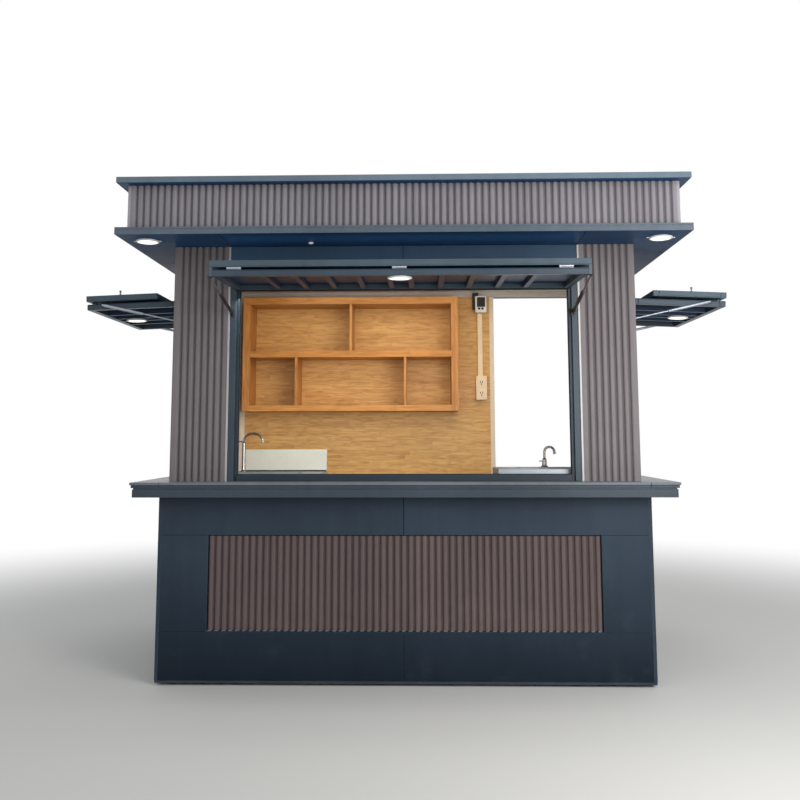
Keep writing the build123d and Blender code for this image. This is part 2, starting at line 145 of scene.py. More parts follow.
class Graph(Nodes):
    """A material's nodes, which end at its surface shader."""

    def __init__(self, name, gloss=0.5):
        self.material = bpy.data.materials.new(name)
        self.material.use_nodes = True
        super().__init__(self.material.node_tree)
        self.shader = self.tree.nodes["Principled BSDF"]
        self.shader.inputs["Specular IOR Level"].default_value = gloss
        self.place = self.node("TexCoord", {}, "Object")

    def vector(self, operation, first, second):
        return self.node("VectorMath", {0: first, 1: second}, operation=operation)

    def stretch(self, factors):
        return self.vector("MULTIPLY", self.place, factors)

    def axes(self):
        made = self.tree.nodes.new("ShaderNodeSeparateXYZ")
        self.put(made.inputs[0], self.place)
        return made.outputs

    def noise(self, scale, detail=2.0, rough=0.5, vector=None):
        values = {"Vector": vector or self.place, "Scale": scale, "Detail": detail, "Roughness": rough}
        return self.node("TexNoise", values)

    def grain(self, factors, detail, rough):
        """Noise that is drawn out by a factor for each axis."""
        return self.noise(1.0, detail, rough, self.stretch(factors))

    def band(self, value, low, high, start=0.0, end=1.0):
        values = {"Value": value, "From Min": low, "From Max": high, "To Min": start, "To Max": end}
        return self.node("MapRange", values)

    def vary(self, noise, start, end):
        """Spreads the values that a noise mostly has from start to end."""
        return self.band(noise, 0.3, 0.7, start, end)

    def mix(self, factor, first, second):
        return self.node("Mix", {0: factor, 6: first, 7: second}, 2, data_type="RGBA")

    def scale(self, colour, factor):
        return self.node("VectorMath", {0: colour[:3], "Scale": factor}, operation="SCALE")

    def tone(self):
        return self.node("Attribute", {}, "Fac", attribute_name="tone")

    def edges(self):
        """1 on worn edges, 0 on flat faces."""
        rounded_off = self.node("Bevel", {"Radius": 0.003}, samples=4)
        flat = self.node("NewGeometry", {}, "Normal")
        same = self.node("VectorMath", {0: rounded_off, 1: flat}, 1, operation="DOT_PRODUCT")
        return self.band(same, 0.97, 0.80)

    def finish(self, colour, rough, height=None, distance=0.001, strength=1.0, metallic=0.0):
        self.put(self.shader.inputs["Base Color"], colour)
        self.put(self.shader.inputs["Roughness"], rough)
        self.put(self.shader.inputs["Metallic"], metallic)
        if height is not None:
            values = {"Height": height, "Distance": distance, "Strength": strength}
            self.put(self.shader.inputs["Normal"], self.node("Bump", values))
        return self.material


DUST = srgb(150, 138, 122)
# A navy for painted shade low down
SHADE_NAVY = srgb(6, 18, 30)


def coated(name, colour, worn, rough=0.42, dust=0.10, cloud=0.14, gloss=0.24, grime_and_shade=0.0):
    """Coated sheet or painted tube: clouding, rain streaks, painted shade and dust low down, worn edges."""
    g = Graph(name, gloss)
    worn = srgb(*worn)
    up = g.axes()[2]
    clouds = g.noise(1.7, 3)
    streaks = g.grain((16, 16, 1.1), 4, 0.6)
    speckle = g.noise(520, 1)
    shade = g.vary(clouds, 1 - cloud, 1 + cloud)
    shade = g.add(shade, g.vary(streaks, -0.07, 0.07), g.vary(speckle, -0.04, 0.04))
    # Painted shade: from 0.62 m down to the ground the paint darkens towards a shadow navy
    paint = g.mix(g.band(up, 0.02, 0.62, grime_and_shade, 0.0), g.scale(srgb(*colour), shade), SHADE_NAVY)
    smudge = g.band(g.noise(5.3, 5, 0.65), 0.56, 0.72)
    paint = g.mix(g.times(smudge, 0.10), paint, worn)
    chips = g.band(g.noise(42, 4, 0.7), 0.42, 0.62)
    paint = g.mix(g.times(g.edges(), g.band(chips, 0, 1, 0.25, 0.85)), paint, worn)
    low = g.math("POWER", g.band(up, 0.0, 0.42, 1.0, 0.0), 2.0)
    splash = g.times(low, g.band(g.noise(7.5, 6, 0.7), 0.35, 0.7))
    paint = g.mix(g.times(splash, dust), paint, DUST)
    roughness = g.vary(clouds, rough - 0.05, rough + 0.05)
    roughness = g.add(roughness, g.times(smudge, 0.12), g.times(splash, 0.25))
    waves = g.add(g.noise(3.1, 1), g.times(speckle, 0.02))
    return g.finish(paint, roughness, waves, 0.004, 0.6)


def fluted(name, colour, dark):
    """Moulded wood-fibre board: upright grain, a tone for each rib, painted shade in the grooves, dust low
    down.
    """
    g = Graph(name, 0.3)
    colour = srgb(*colour)
    grain = g.grain((150, 150, 3.5), 4, 0.65)
    fine = g.grain((420, 420, 14), 2, 0.6)
    # The face tone carries each rib's random tone and the grooves' painted shade
    shade = g.add(g.vary(grain, 0.90, 1.09), g.vary(g.noise(2.3, 3), -0.05, 0.05), g.times(g.tone(), 0.06))
    body = g.mix(g.band(fine, 0.55, 0.72, 0.0, 0.35), g.scale(colour, shade), srgb(*dark))
    rubbed = g.times(g.edges(), g.band(g.noise(30, 3, 0.7), 0.4, 0.65, 0.1, 0.4))
    body = g.mix(rubbed, body, g.scale(colour, 1.35))
    low = g.band(g.axes()[2], 0.25, 0.5, 1.0, 0.0)
    dusty = g.times(low, g.band(g.noise(9, 5, 0.7), 0.4, 0.75, 0.0, 0.12))
    body = g.mix(dusty, body, DUST)
    height = g.add(grain, g.times(fine, 0.6))
    return g.finish(body, g.vary(grain, 0.54, 0.70), height, 0.0007, 0.8)


def laminate(name, pale, deep, along, strip_height, strip_length, contrast, figure):
    """Oak-print laminate: staggered strips with oval figure, each with its own tone, under a satin skin."""
    g = Graph(name)
    pale, deep = srgb(*pale), srgb(*deep)
    x, _, z = g.axes()
    run, cross = (x, z) if along == "x" else (z, x)

    def lengthways(*factors):
        """Factors along the grain, in depth and across it, in the order of the axes."""
        return factors if along == "x" else factors[::-1]

    rows = g.math("DIVIDE", cross, strip_height)
    row = g.math("FLOOR", rows)
    shift = g.node("TexWhiteNoise", {"W": row}, noise_dimensions="1D")
    place = g.add(g.math("DIVIDE", run, strip_length), g.times(shift, 7.3))
    cell = g.node("CombineXYZ", {0: row, 1: g.math("FLOOR", place), 2: 0.0})
    chance = g.node("TexWhiteNoise", {"Vector": cell}, noise_dimensions="3D")
    chances = g.node("TexWhiteNoise", {"Vector": cell}, 1, noise_dimensions="3D")
    hops = g.vector("MULTIPLY", chances, (9, 9, 9))
    grain = g.noise(1.0, 5, 0.62, g.vector("ADD", g.stretch(lengthways(4.6, 34, 58)), hops))
    swell = g.noise(1.0, 2, 0.4, g.vector("ADD", g.stretch(lengthways(figure, 16, 22)), hops))
    rings = g.math("PINGPONG", g.times(swell, 11.0), 1.0)
    pores = g.grain(lengthways(24, 300, 520), 2, 0.6)
    amount = g.add(
        g.band(grain, 0.34, 0.68, 0.0, 0.50), g.times(g.math("POWER", rings, 2.0), 0.30),
        g.band(chance, 0, 1, -0.30 * contrast, 0.34 * contrast),
    )
    wood = g.mix(g.band(amount, 0, 1), pale, deep)
    wood = g.mix(g.band(pores, 0.58, 0.74, 0.0, 0.30), wood, g.scale(deep, 0.6))
    joint = g.math("LESS_THAN", g.math("FRACT", rows), 0.02)
    end = g.math("LESS_THAN", g.math("FRACT", place), 0.003)
    lines = g.math("MAXIMUM", joint, end)
    wood = g.mix(g.times(lines, 0.14), wood, g.scale(deep, 0.45))
    height = g.math("SUBTRACT", g.times(pores, 0.5), lines)
    return g.finish(wood, g.vary(grain, 0.34, 0.50), height, 0.0004, 0.6)


def moulded(name, colour, rough, shade_range=0.06, grime_and_shade=(150, 130, 100), gloss=0.5):
    """Painted board or moulded plastic with a fine skin, clouding and light grime."""
    g = Graph(name, gloss)
    clouds = g.noise(9, 4, 0.6)
    base = g.scale(srgb(*colour), g.vary(clouds, 1 - shade_range, 1 + shade_range / 2))
    spots = g.band(g.noise(26, 5, 0.7), 0.55, 0.75, 0.0, 0.12)
    base = g.mix(spots, base, srgb(*grime_and_shade))
    height = g.add(g.noise(900, 1), g.noise(60, 2))
    return g.finish(base, g.vary(clouds, rough - 0.07, rough + 0.09), height, 0.0003, 0.5)


def brushed(name, colour, rough, factors, metallic=1.0, smear=0.10, gloss=0.5):
    """Brushed or rolled metal: fine lines along one way, with wiped smears."""
    g = Graph(name, gloss)
    lines = g.grain(factors, 3, 0.7)
    smears = g.band(g.noise(6, 4, 0.6), 0.45, 0.7, 0.0, smear)
    base = g.scale(srgb(*colour), g.vary(lines, 0.90, 1.05))
    roughness = g.add(g.vary(lines, rough - 0.05, rough + 0.06), smears)
    return g.finish(base, roughness, lines, 0.0002, 0.5, metallic)


def glowing(name, colour, strength):
    """The lamp's opal face, brightest at the middle of its small diffusing dots."""
    g = Graph(name)
    dots = g.noise(260, 1)
    g.put(g.shader.inputs["Emission Color"], g.scale(colour, g.vary(dots, 0.97, 1.0)))
    g.shader.inputs["Emission Strength"].default_value = strength
    return g.finish(g.scale(colour, 0.8), g.vary(dots, 0.25, 0.35))


PANEL_UPPER = coated("composite_slate", (46, 58, 71), (92, 102, 112), gloss=0.14)
# The base's composite takes the painted shade low down
PANEL_LOWER = coated("composite_base", (49, 60, 72), (84, 96, 106), dust=0.01, gloss=0.09, grime_and_shade=0.8)
# The header and the soffit take bluer copies of the composite, the header's also lighter: painted blue sky
# shade
HEADER_SKY_SHADE = coated("composite_header_sky_shade", (49, 73, 97), (86, 105, 122))
SOFFIT_SKY_SHADE = coated("composite_soffit_sky_shade", (33, 68, 106), (66, 90, 116), gloss=0.08)
CAP = coated("cap_slate", (101, 116, 129), (140, 152, 162), 0.38)
EDGE = coated("soffit_edge_slate", (86, 98, 109), (128, 140, 150), 0.38)
ROOF_TRIM = coated("fascia_corner", (158, 154, 160), (186, 182, 186), 0.42)
COUNTER = coated("counter_slate", (100, 107, 114), (156, 162, 166), 0.34)
APRON = coated("apron_slate", (54, 64, 74), (104, 114, 122), 0.36)
FRAME = coated("window_frame_slate", (56, 69, 79), (112, 126, 136), 0.36)
ANGLE = coated("corner_angle_slate", (46, 57, 68), (96, 108, 118), 0.4, dust=0.05, gloss=0.14)
FRAME_STOP = coated("frame_stop_slate", (42, 53, 62), (84, 96, 106), 0.4)
LEAF = coated("leaf_slate", (68, 84, 95), (118, 132, 143), 0.38)
# Darker copies of the leaf slate for the lower leaf: painted shade, the underside's in a blue shade
LEAF_SHADED = coated("leaf_slate_shaded", (58, 71, 82), (104, 118, 128), 0.38)
LEAF_UNDER_SHADED = coated("leaf_underside_shaded", (34, 55, 80), (70, 90, 110), 0.45)
# One fluted board in three tones: the base's darker brown is painted shade under the counter, the walls' and
# fascia's lighter bluish greys are painted sky sheen
BASE_FLUTES_SHADED = fluted("fluted_base_shaded", (92, 78, 78), (58, 46, 46))
WALL_FLUTES_SHEEN = fluted("fluted_walls_sheen", (120, 113, 115), (76, 67, 69))
ROOF_FLUTES_SHEEN = fluted("fluted_fascia_sheen", (133, 129, 135), (84, 77, 82))
OAK = laminate("oak_lining", (224, 175, 105), (166, 111, 53), "x", 0.031, 0.27, 0.24, 4.2)
SHELF_OAK = laminate("oak_shelf_boards", (200, 138, 68), (142, 86, 34), "x", 0.30, 2.4, 0.4, 3.0)
SHELF_OAK_UP = laminate("oak_shelf_uprights", (198, 136, 68), (140, 84, 34), "z", 0.30, 2.4, 0.4, 3.0)
CREAM = moulded("cream_trim", (226, 210, 186), 0.42)
COVING = moulded("coving_beige", (194, 186, 180), 0.5)
CEILING = moulded("ceiling_white", (226, 222, 212), 0.55)
WHITE = moulded("white_plastic", (232, 230, 224), 0.32)
IVORY = moulded("ivory_plastic", (238, 214, 176), 0.34)
SPLASH = moulded("splash_white", (234, 231, 214), 0.42, shade_range=0.03)
DARK_PLASTIC = moulded("dark_plastic", (38, 36, 36), 0.35, grime_and_shade=(90, 88, 84))
RUBBER = moulded("seal_rubber", (24, 25, 27), 0.7, grime_and_shade=(70, 70, 68), gloss=0.2)
SEALANT = moulded("joint_sealant", (12, 15, 20), 0.8, grime_and_shade=(34, 38, 42), gloss=0.03)
ALUMINIUM = brushed("trim_aluminium", (190, 188, 186), 0.5, (180, 180, 5), metallic=0.2, gloss=0.3)
STEEL = brushed("worktop_steel", (152, 158, 164), 0.45, (6, 320, 320), metallic=0.55, gloss=0.25)
CHROME = brushed("tap_chrome", (160, 156, 151), 0.17, (60, 60, 60), smear=0.06)
ZINC = brushed("hinge_zinc", (196, 200, 206), 0.40, (240, 40, 240), metallic=0.85)
STRUT_BLACK = coated("strut_black", (40, 41, 46), (84, 84, 88), 0.3)
STRUT_SILVER = brushed("strut_silver", (160, 166, 174), 0.34, (60, 60, 60), metallic=0.8)
STRUT_ROD = brushed("strut_rod", (128, 124, 122), 0.38, (60, 60, 60), metallic=0.6)
SKID = coated("skid_primer", (56, 60, 66), (120, 96, 74), 0.6, dust=0.5)
TREAD = brushed("floor_aluminium", (172, 172, 172), 0.42, (8, 240, 240), smear=0.2)
DECK = coated("roof_sheet", (108, 116, 124), (150, 154, 158), 0.5, dust=0.0, cloud=0.22)
LAMP_FACE = glowing("lamp_opal", (1.0, 0.985, 0.95, 1.0), 1.6)


# Shapes

def straight(u, v, w):
    return (u, v, w)


def lying(u, v, w):
    """Places what is drawn in x and z, from one y to another."""
    return (u, w, v)


def facing_front(y):
    """Places what is drawn in x and z on the plane y, with w towards the front."""
    return lambda u, v, w: (u, y - w, v)


# Along the wall, outwards from the middle of the kiosk, and up
WALLS = {
    "front": lambda u, out, z: (u, -out, z),
    "back": lambda u, out, z: (u, out, z),
    "left": lambda u, out, z: (-out, u, z),
    "right": lambda u, out, z: (out, u, z),
}


def inset(pair, amount):
    """A span with both ends moved inwards."""
    return (pair[0] + amount, pair[1] - amount)


def shrunk(spans, amount):
    """A rectangle's two spans with all ends moved inwards."""
    return [inset(pair, amount) for pair in spans]


def around(middle, half):
    return (middle - half, middle + half)


def spread(start, end, pitch):
    """Even places between two ends, about a pitch apart."""
    count = max(1, round((end - start) / pitch))
    return [start + (end - start) * step / count for step in range(count + 1)]


def corners(us, vs):
    return [(us[0], vs[0]), (us[1], vs[0]), (us[1], vs[1]), (us[0], vs[1])]


def rounded(us, vs, radius, steps=5):
    """The outline of a rectangle with round corners."""
    points = []
    for u, v, start in ((us[1], vs[1], 0), (us[0], vs[1], 90), (us[0], vs[0], 180), (us[1], vs[0], 270)):
        middle_u = u - math.copysign(radius, u - (us[0] + us[1]) / 2)
        middle_v = v - math.copysign(radius, v - (vs[0] + vs[1]) / 2)
        for step in range(steps + 1):
            angle = math.radians(start + 90 * step / steps)
            points.append((middle_u + radius * math.cos(angle), middle_v + radius * math.sin(angle)))
    return points


def mirrored(half):
    """A whole outline from its right half, which starts at the front."""
    return [(-half[0][0], half[0][1])] + half + [(-x, y) for x, y in reversed(half[1:])]


def circle(centre, radius, first, second, sides):
    """Points around a centre, in the plane of two directions."""
    turns = (2 * math.pi * side / sides for side in range(sides))
    return [centre + radius * (math.cos(turn) * first + math.sin(turn) * second) for turn in turns]


class Shape:
    """Closed solids, gathered into one mesh."""

    def __init__(self):
        self.mesh = bmesh.new()
        self.tone = self.mesh.faces.layers.float.new("tone")

    def solid(self, rings, tone=0.0, loop=False):
        """A closed solid through rings of points. A loop joins the last ring to the first."""
        made = [[self.mesh.verts.new(point) for point in ring] for ring in rings]
        faces = [] if loop else [self.mesh.faces.new(made[0]), self.mesh.faces.new(made[-1])]
        for low, high in zip(made, made[1:] + made[:1] if loop else made[1:]):
            for here in range(len(low)):
                after = (here + 1) % len(low)
                faces.append(self.mesh.faces.new((low[here], low[after], high[after], high[here])))
        for face in faces:
            face[self.tone] = tone

    def prism(self, outline, ws, place=straight, tone=0.0):
        """A closed prism: an outline of (u, v) points between two w."""
        self.solid([[place(u, v, w) for u, v in outline] for w in ws], tone)

    def block(self, us, vs, ws, place=straight, tone=0.0):
        self.prism(corners(us, vs), ws, place, tone)

    def layers(self, rectangles, place, loop=False):
        """A solid through upright rectangles: each has its spans along the wall and in z, and its way out."""
        self.solid([[place(u, out, z) for u, z in corners(*spans)] for spans, out in rectangles], loop=loop)

    def ring(self, outer, inner, outs, place):
        """A rectangular ring on a wall."""
        back, face = outs
        self.layers([(outer, back), (outer, face), (inner, face), (inner, back)], place, True)

    def pocket(self, outer, inner, outs, place):
        """A wall slab with a shallow pocket. Outs are its back, the pocket's floor and its face."""
        back, floor, face = outs
        self.layers([(outer, back), (outer, face), (inner, face), (inner, floor)], place)

    def turned(self, start, end, profile, sides):
        """A turned solid from start to end. The profile lists (distance along, radius)."""
        start, end = Vector(start), Vector(end)
        axis = (end - start).normalized()
        first = axis.orthogonal().normalized()
        second = axis.cross(first)
        self.solid([circle(start + axis * along, radius, first, second, sides) for along, radius in profile])

    def rod(self, start, end, radius, sides, chamfer):
        length = (Vector(end) - Vector(start)).length
        self.turned(start, end, [
            (0, radius - chamfer), (chamfer, radius), (length - chamfer, radius), (length, radius - chamfer),
        ], sides)

    def tube(self, points, radius, across, sides):
        """A round tube along flat points. Across is the direction square to their plane."""
        points = [Vector(point) for point in points]
        across = Vector(across)
        rings = []
        for index, point in enumerate(points):
            before = points[max(index - 1, 0)]
            after = points[min(index + 1, len(points) - 1)]
            side = (after - before).normalized().cross(across)
            rings.append(circle(point, radius, across, side, sides))
        self.solid(rings)


def add_piece(name, shape, material, replaced=(), bevel=0.0, segments=2):
    """Turns a shape into a piece of the object."""
    bmesh.ops.recalc_face_normals(shape.mesh, faces=shape.mesh.faces)
    bmesh.ops.scale(shape.mesh, vec=(MM, MM, MM), verts=shape.mesh.verts)
    mesh = bpy.data.meshes.new(name)
    shape.mesh.to_mesh(mesh)
    shape.mesh.free()
    mesh.polygons.foreach_set("use_smooth", [True] * len(mesh.polygons))
    piece = bpy.data.objects.new(name, mesh)
    scene.collection.objects.link(piece)
    mesh.materials.append(material)
    if bevel:
        edges = piece.modifiers.new("edges", "BEVEL")
        edges.width = bevel * MM
        edges.segments = segments
        edges.limit_method = "ANGLE"
        edges.angle_limit = SHARP_ANGLE
        edges.harden_normals = True
    else:
        mesh.set_sharp_from_angle(angle=SHARP_ANGLE)
    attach(piece, "root")
    if replaced:
        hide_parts(*replaced)


def span(node):
    """A node's x, y and z spans in millimetres."""
    low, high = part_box(node)
    return [(low[axis] / MM, high[axis] / MM) for axis in range(3)]


sealant = Shape()


def seal(place, out, rectangles):
    """Dark sealant in the joints that two sheets share."""
    depth = (out - SHEET - 0.4, out - SHEET + 1.2)
    for first in rectangles:
        for second in rectangles:
            for axis in (0, 1):
                low = max(first[1 - axis][0], second[1 - axis][0]) + SEAM
                high = min(first[1 - axis][1], second[1 - axis][1]) - SEAM
                if first[axis][1] == second[axis][0] and low < high:
                    across = around(first[axis][1], SEAM)
                    us, zs = ((low, high), across) if axis else (across, (low, high))
                    sealant.block(us, depth, zs, place)


def sheets(shape, place, out, rectangles):
    """Thin sheets on a wall face, each a span along the wall and a z span, with a seam between them."""
    for us, zs in rectangles:
        shape.block(inset(us, SEAM / 2), (out - SHEET - 0.5, out), inset(zs, SEAM / 4), place)
    seal(place, out, rectangles)


def clad(name, side, seams, zs, material, replaced=(), depth=UPPER_DEPTH, short=0):
    """A part of the front or back wall: a core under sheets. Seams are where the sheets meet or end."""
    shape = Shape()
    shape.block((seams[0], seams[-1] - short), (BACK_Y - depth, BACK_Y - SHEET), zs, WALLS[side])
    sheets(shape, WALLS[side], BACK_Y, [(us, zs) for us in zip(seams, seams[1:])])
    add_piece(name, shape, material, replaced, 0.8)


# How far each point of a rib's flank stands in from its edge, and out from the backing
RIB_FLANK = (
    (0.0, -0.6), (0.0, 0.4), (1.6, 3.6), (2.9, 6.1), (4.3, 8.0), (6.2, 9.2), (8.6, 9.8), (11.4, FLUTE_DEPTH),
)


def rib_outline(start, end, backing):
    """The outline of one rib: steep flanks and a broad, slightly rounded crest."""
    rise = [(start + u, backing + out) for u, out in RIB_FLANK]
    fall = [(end - u, backing + out) for u, out in reversed(RIB_FLANK)]
    return rise + fall


def flutes(shape, place, us, outs, zs, edges=(29, 29)):
    """A fluted board: upright ribs on a backing. Edges are the first and last grooves' distances.

    It returns the ribs' spans along the wall."""
    backing = outs[1] - FLUTE_DEPTH
    # The backing, seen in the grooves, takes a dark tone: painted shade
    shape.block(us, (outs[0], backing), zs, place, GROOVE_SHADE)
    grooves = spread(us[0] + edges[0], us[1] - edges[1], FLUTE_PITCH)
    starts = [us[0]] + [groove + GROOVE / 2 for groove in grooves]
    ends = [groove - GROOVE / 2 for groove in grooves] + [us[1]]
    ribs = list(zip(starts, ends))
    board = 0.0
    for index, (start, end) in enumerate(ribs):
        if index % 5 == 0:
            board = random.uniform(-0.7, 0.7)
        shape.prism(rib_outline(start, end, backing), zs, place, board + random.uniform(-0.9, 0.9))
    return ribs


def corner_angle(shape, corner, inwards, leg, thick, zs):
    """An upright angle around a corner. Inwards are the signs of the way to the middle, in x and y."""
    (x, y), (i, j) = corner, inwards
    shape.prism([
        (x, y), (x + i * leg, y), (x + i * leg, y + j * thick), (x + i * thick, y + j * thick),
        (x + i * thick, y + j * leg), (x, y + j * leg),
    ], zs)


SCREW_PROFILE = ((0, 5.2), (0.9, 5.2), (1.3, 4.0), (2.2, 3.8), (2.8, 2.8), (2.9, 1.4), (2.2, 1.2))
SCREW_INSET = 14
screws = Shape()


def screw(side, u, out, z):
    """A flat screw head on a washer, standing out from a face."""
    screws.turned(WALLS[side](u, out - 0.3, z), WALLS[side](u, out + 3, z), SCREW_PROFILE, 12)


# Base: walls with pockets, seamed sheets, a channel along the bottom and fluted boards

REVEAL = 4
BASE_SEAM = -323
CHANNEL_DEPTH = 30
NARROWEST_CLIP = 12
inset_half = BASE_HALF - INSET_MARGIN
side_inset = inset((FRONT_Y, BACK_Y), INSET_MARGIN)
# Each side's distance out, its span, the seam in its sheets and the span of its pocket
base_sides = {
    "front": (-FRONT_Y, (-BASE_HALF, BASE_HALF), [0], (-inset_half, inset_half)),
    "left": (BASE_HALF, (FRONT_Y, BACK_Y), [], side_inset),
    "right": (BASE_HALF, (FRONT_Y, BACK_Y), [], side_inset),
    "back": (BACK_Y, (-BASE_HALF, DOOR_LEFT), [BASE_SEAM], (-inset_half, DOOR_LEFT - INSET_MARGIN)),
}
inset_boards, rib_clips, channel, ledges = (Shape() for _ in range(4))
for side, (outer, us, seam, pocket) in base_sides.items():
    place = WALLS[side]
    passing = side in ("front", "back")
    body = Shape()
    ends = inset(us, 0.6 if passing else BASE_DEPTH + 0.5)
    outs = (outer - BASE_DEPTH, outer - INSET_DEPTH, outer - SHEET)
    body.pocket((ends, BASE_Z), (pocket, INSET_Z), outs, place)
    rows = ((CHANNEL_TOP, INSET_Z[0]), (INSET_Z[1], BASE_TOP))
    rectangles = [(half, zs) for half in zip([us[0]] + seam, seam + [us[1]]) for zs in rows]
    rectangles += [((us[0], pocket[0]), INSET_Z), ((pocket[1], us[1]), INSET_Z)]
    sheets(body, place, outer, rectangles)
    add_piece(f"{side}_base_cladding", body, PANEL_LOWER, [f"{side}_base_wall"], 0.8)
    board_outs = (outer - INSET_DEPTH, outer - REVEAL)
    for start, end in flutes(inset_boards, place, inset(pocket, REVEAL), board_outs, inset(INSET_Z, REVEAL)):
        if end - start > NARROWEST_CLIP:
            clip_us = (start + random.uniform(1, 4), end - random.uniform(4, 9))
            clip_zs = (INSET_Z[0] + 2.4, INSET_Z[0] + 7.6)
            rib_clips.block(clip_us, (outer - REVEAL - 2, outer - 1), clip_zs, place)
    channel_us = us if passing else inset(us, CHANNEL_DEPTH)
    channel.block(channel_us, (outer - CHANNEL_DEPTH, outer - 1), (GROUND_GAP, CHANNEL_TOP), place)
    ledges.block(inset(pocket, 1), (outer - 19, outer - 0.6), (INSET_Z[0], INSET_Z[0] + 2), place)
add_piece("base_fluted_boards", inset_boards, BASE_FLUTES_SHADED, ["base_fluted_panels"])
door_side = (DOOR_RIGHT, BASE_HALF)
clad("back_base_door_side", "back", door_side, BASE_Z, PANEL_LOWER, [], BASE_DEPTH, SHEET)
channel.block(door_side, (BACK_Y - CHANNEL_DEPTH, BACK_Y - 1), (GROUND_GAP, CHANNEL_TOP), WALLS["back"])
add_piece("base_channel", channel, ANGLE, [], 1.0)
add_piece("inset_ledges", ledges, PANEL_LOWER, [], 0.5)
add_piece("inset_rib_clips", rib_clips, EDGE, [], 0.6)

# Corner angles, which stand out by their skin. The front ones end under the apron
SKIN = 0.9
ANGLE_LEG = 15 + SKIN
ANGLE_THICK = 0.4 + SKIN
FRONT_ANGLE_TOP = 911
angles = Shape()
for sign in (-1, 1):
    for y, inwards, top in ((FRONT_Y, 1, FRONT_ANGLE_TOP), (BACK_Y, -1, BASE_TOP)):
        corner = (sign * (BASE_HALF + SKIN), y - inwards * SKIN)
        corner_angle(angles, corner, (-sign, inwards), ANGLE_LEG, ANGLE_THICK, (CHANNEL_TOP, top))
add_piece("base_corner_angles", angles, ANGLE, [], 0.4)
for z in spread(70, 880, 200):
    for side in ("left", "right"):
        for u in inset((FRONT_Y, BACK_Y), 8):
            screw(side, u, BASE_HALF + SKIN, z)
    for u in inset((-BASE_HALF, BASE_HALF), 8):
        screw("back", u, BACK_Y + SKIN, z)


# Counter and apron

SETBACK = 6
JOINT = 0.6
cx, cy, cz = span("front_counter")
wx, wy, wz = span("side_counters")
lip_z = cz[1] - 13
under_top = lip_z - 0.3
counter, counter_under, wings = (Shape() for _ in range(3))
counter.block(inset(cx, JOINT), cy, (lip_z, cz[1]))
counter_under.block(inset(cx, JOINT), (cy[0] + SETBACK, cy[1]), (cz[0], under_top))
for sign in (-1, 1):
    for shape, setback, zs in ((wings, 0, (lip_z, wz[1])), (counter_under, SETBACK, (wz[0], under_top))):
        near_x, far_x = cx[1] + JOINT, wx[1] - setback
        near_y, far_y = inset(wy, setback)
        wall_y = FRONT_Y + UPPER_DEPTH
        shape.prism([(sign * x, y) for x, y in (
            (near_x, near_y), (far_x, near_y), (far_x, far_y), (UPPER_HALF, far_y), (UPPER_HALF, wall_y),
            (near_x, wall_y),
        )], zs)
add_piece("front_counter_slab", counter, COUNTER, ["front_counter"], 2.5, 3)
add_piece("side_counter_slabs", wings, COUNTER, ["side_counters"], 2.5, 3)
# The set-back lower edge of the slabs takes the darker apron slate: painted shade under the lip, on top of
# the recess's real shade
add_piece("counter_under_slabs_shaded", counter_under, APRON, [], 1.5)

APRON_DEPTH = 20
apron = Shape()
ax, ay, az = span("counter_apron")
gap_z = az[1] - 6
side_x = ax[1] - 15
for setback, zs in ((0, (az[0], gap_z)), (4, (gap_z + 0.2, az[1]))):
    near, far = inset(ay, setback)
    outer, inner = side_x - setback, side_x - APRON_DEPTH
    end, back = far - APRON_DEPTH + setback, ay[0] + APRON_DEPTH
    half = [(outer, near), (outer, far), (BASE_HALF, far), (BASE_HALF, end), (inner, end), (inner, back)]
    apron.prism(mirrored(half), zs)
add_piece("apron_strip", apron, APRON, ["counter_apron"], 1.5)


# Upper walls

def fluted_wall(name, side, us, edges, replaced=()):
    """A fluted board of the front or back wall."""
    board = Shape()
    flutes(board, WALLS[side], us, (BACK_Y - UPPER_DEPTH, BACK_Y), UPPER_Z, edges)
    add_piece(name, board, WALL_FLUTES_SHEEN, replaced)


def edge_trim(shape, side, u, away, face):
    """A flat trim over a fluted board's edge at u, with a lip. Away is the sign of the way to the board."""
    shape.block(sorted((u, u + away * TRIM_WIDTH)), (face, face + 2), (COUNTER_TOP, TRIM_TOP), WALLS[side])
    lip = sorted((u + away * 0.2, u + away * 2.4))
    shape.block(lip, (face + 1.6, face + 5), inset((COUNTER_TOP, TRIM_TOP), 0.2), WALLS[side])


fluted_wall("front_left_flutes", "front", (-UPPER_HALF, -CORNER_INNER - 1), (43, 42), ["front_left_panel"])
fluted_wall("front_right_flutes", "front", (CORNER_INNER + 1, UPPER_HALF), (42, 43), ["front_right_panel"])
trims = Shape()
for sign in (-1, 1):
    edge_trim(trims, "front", sign * CORNER_INNER, sign, -FRONT_Y)
add_piece("front_corner_trims", trims, ALUMINIUM, ["corner_trims"], 0.5)
hx, _, hz = span("front_header")
clad("front_header_cladding", "front", (hx[0], 0, hx[1]), hz, HEADER_SKY_SHADE, ["front_header"])

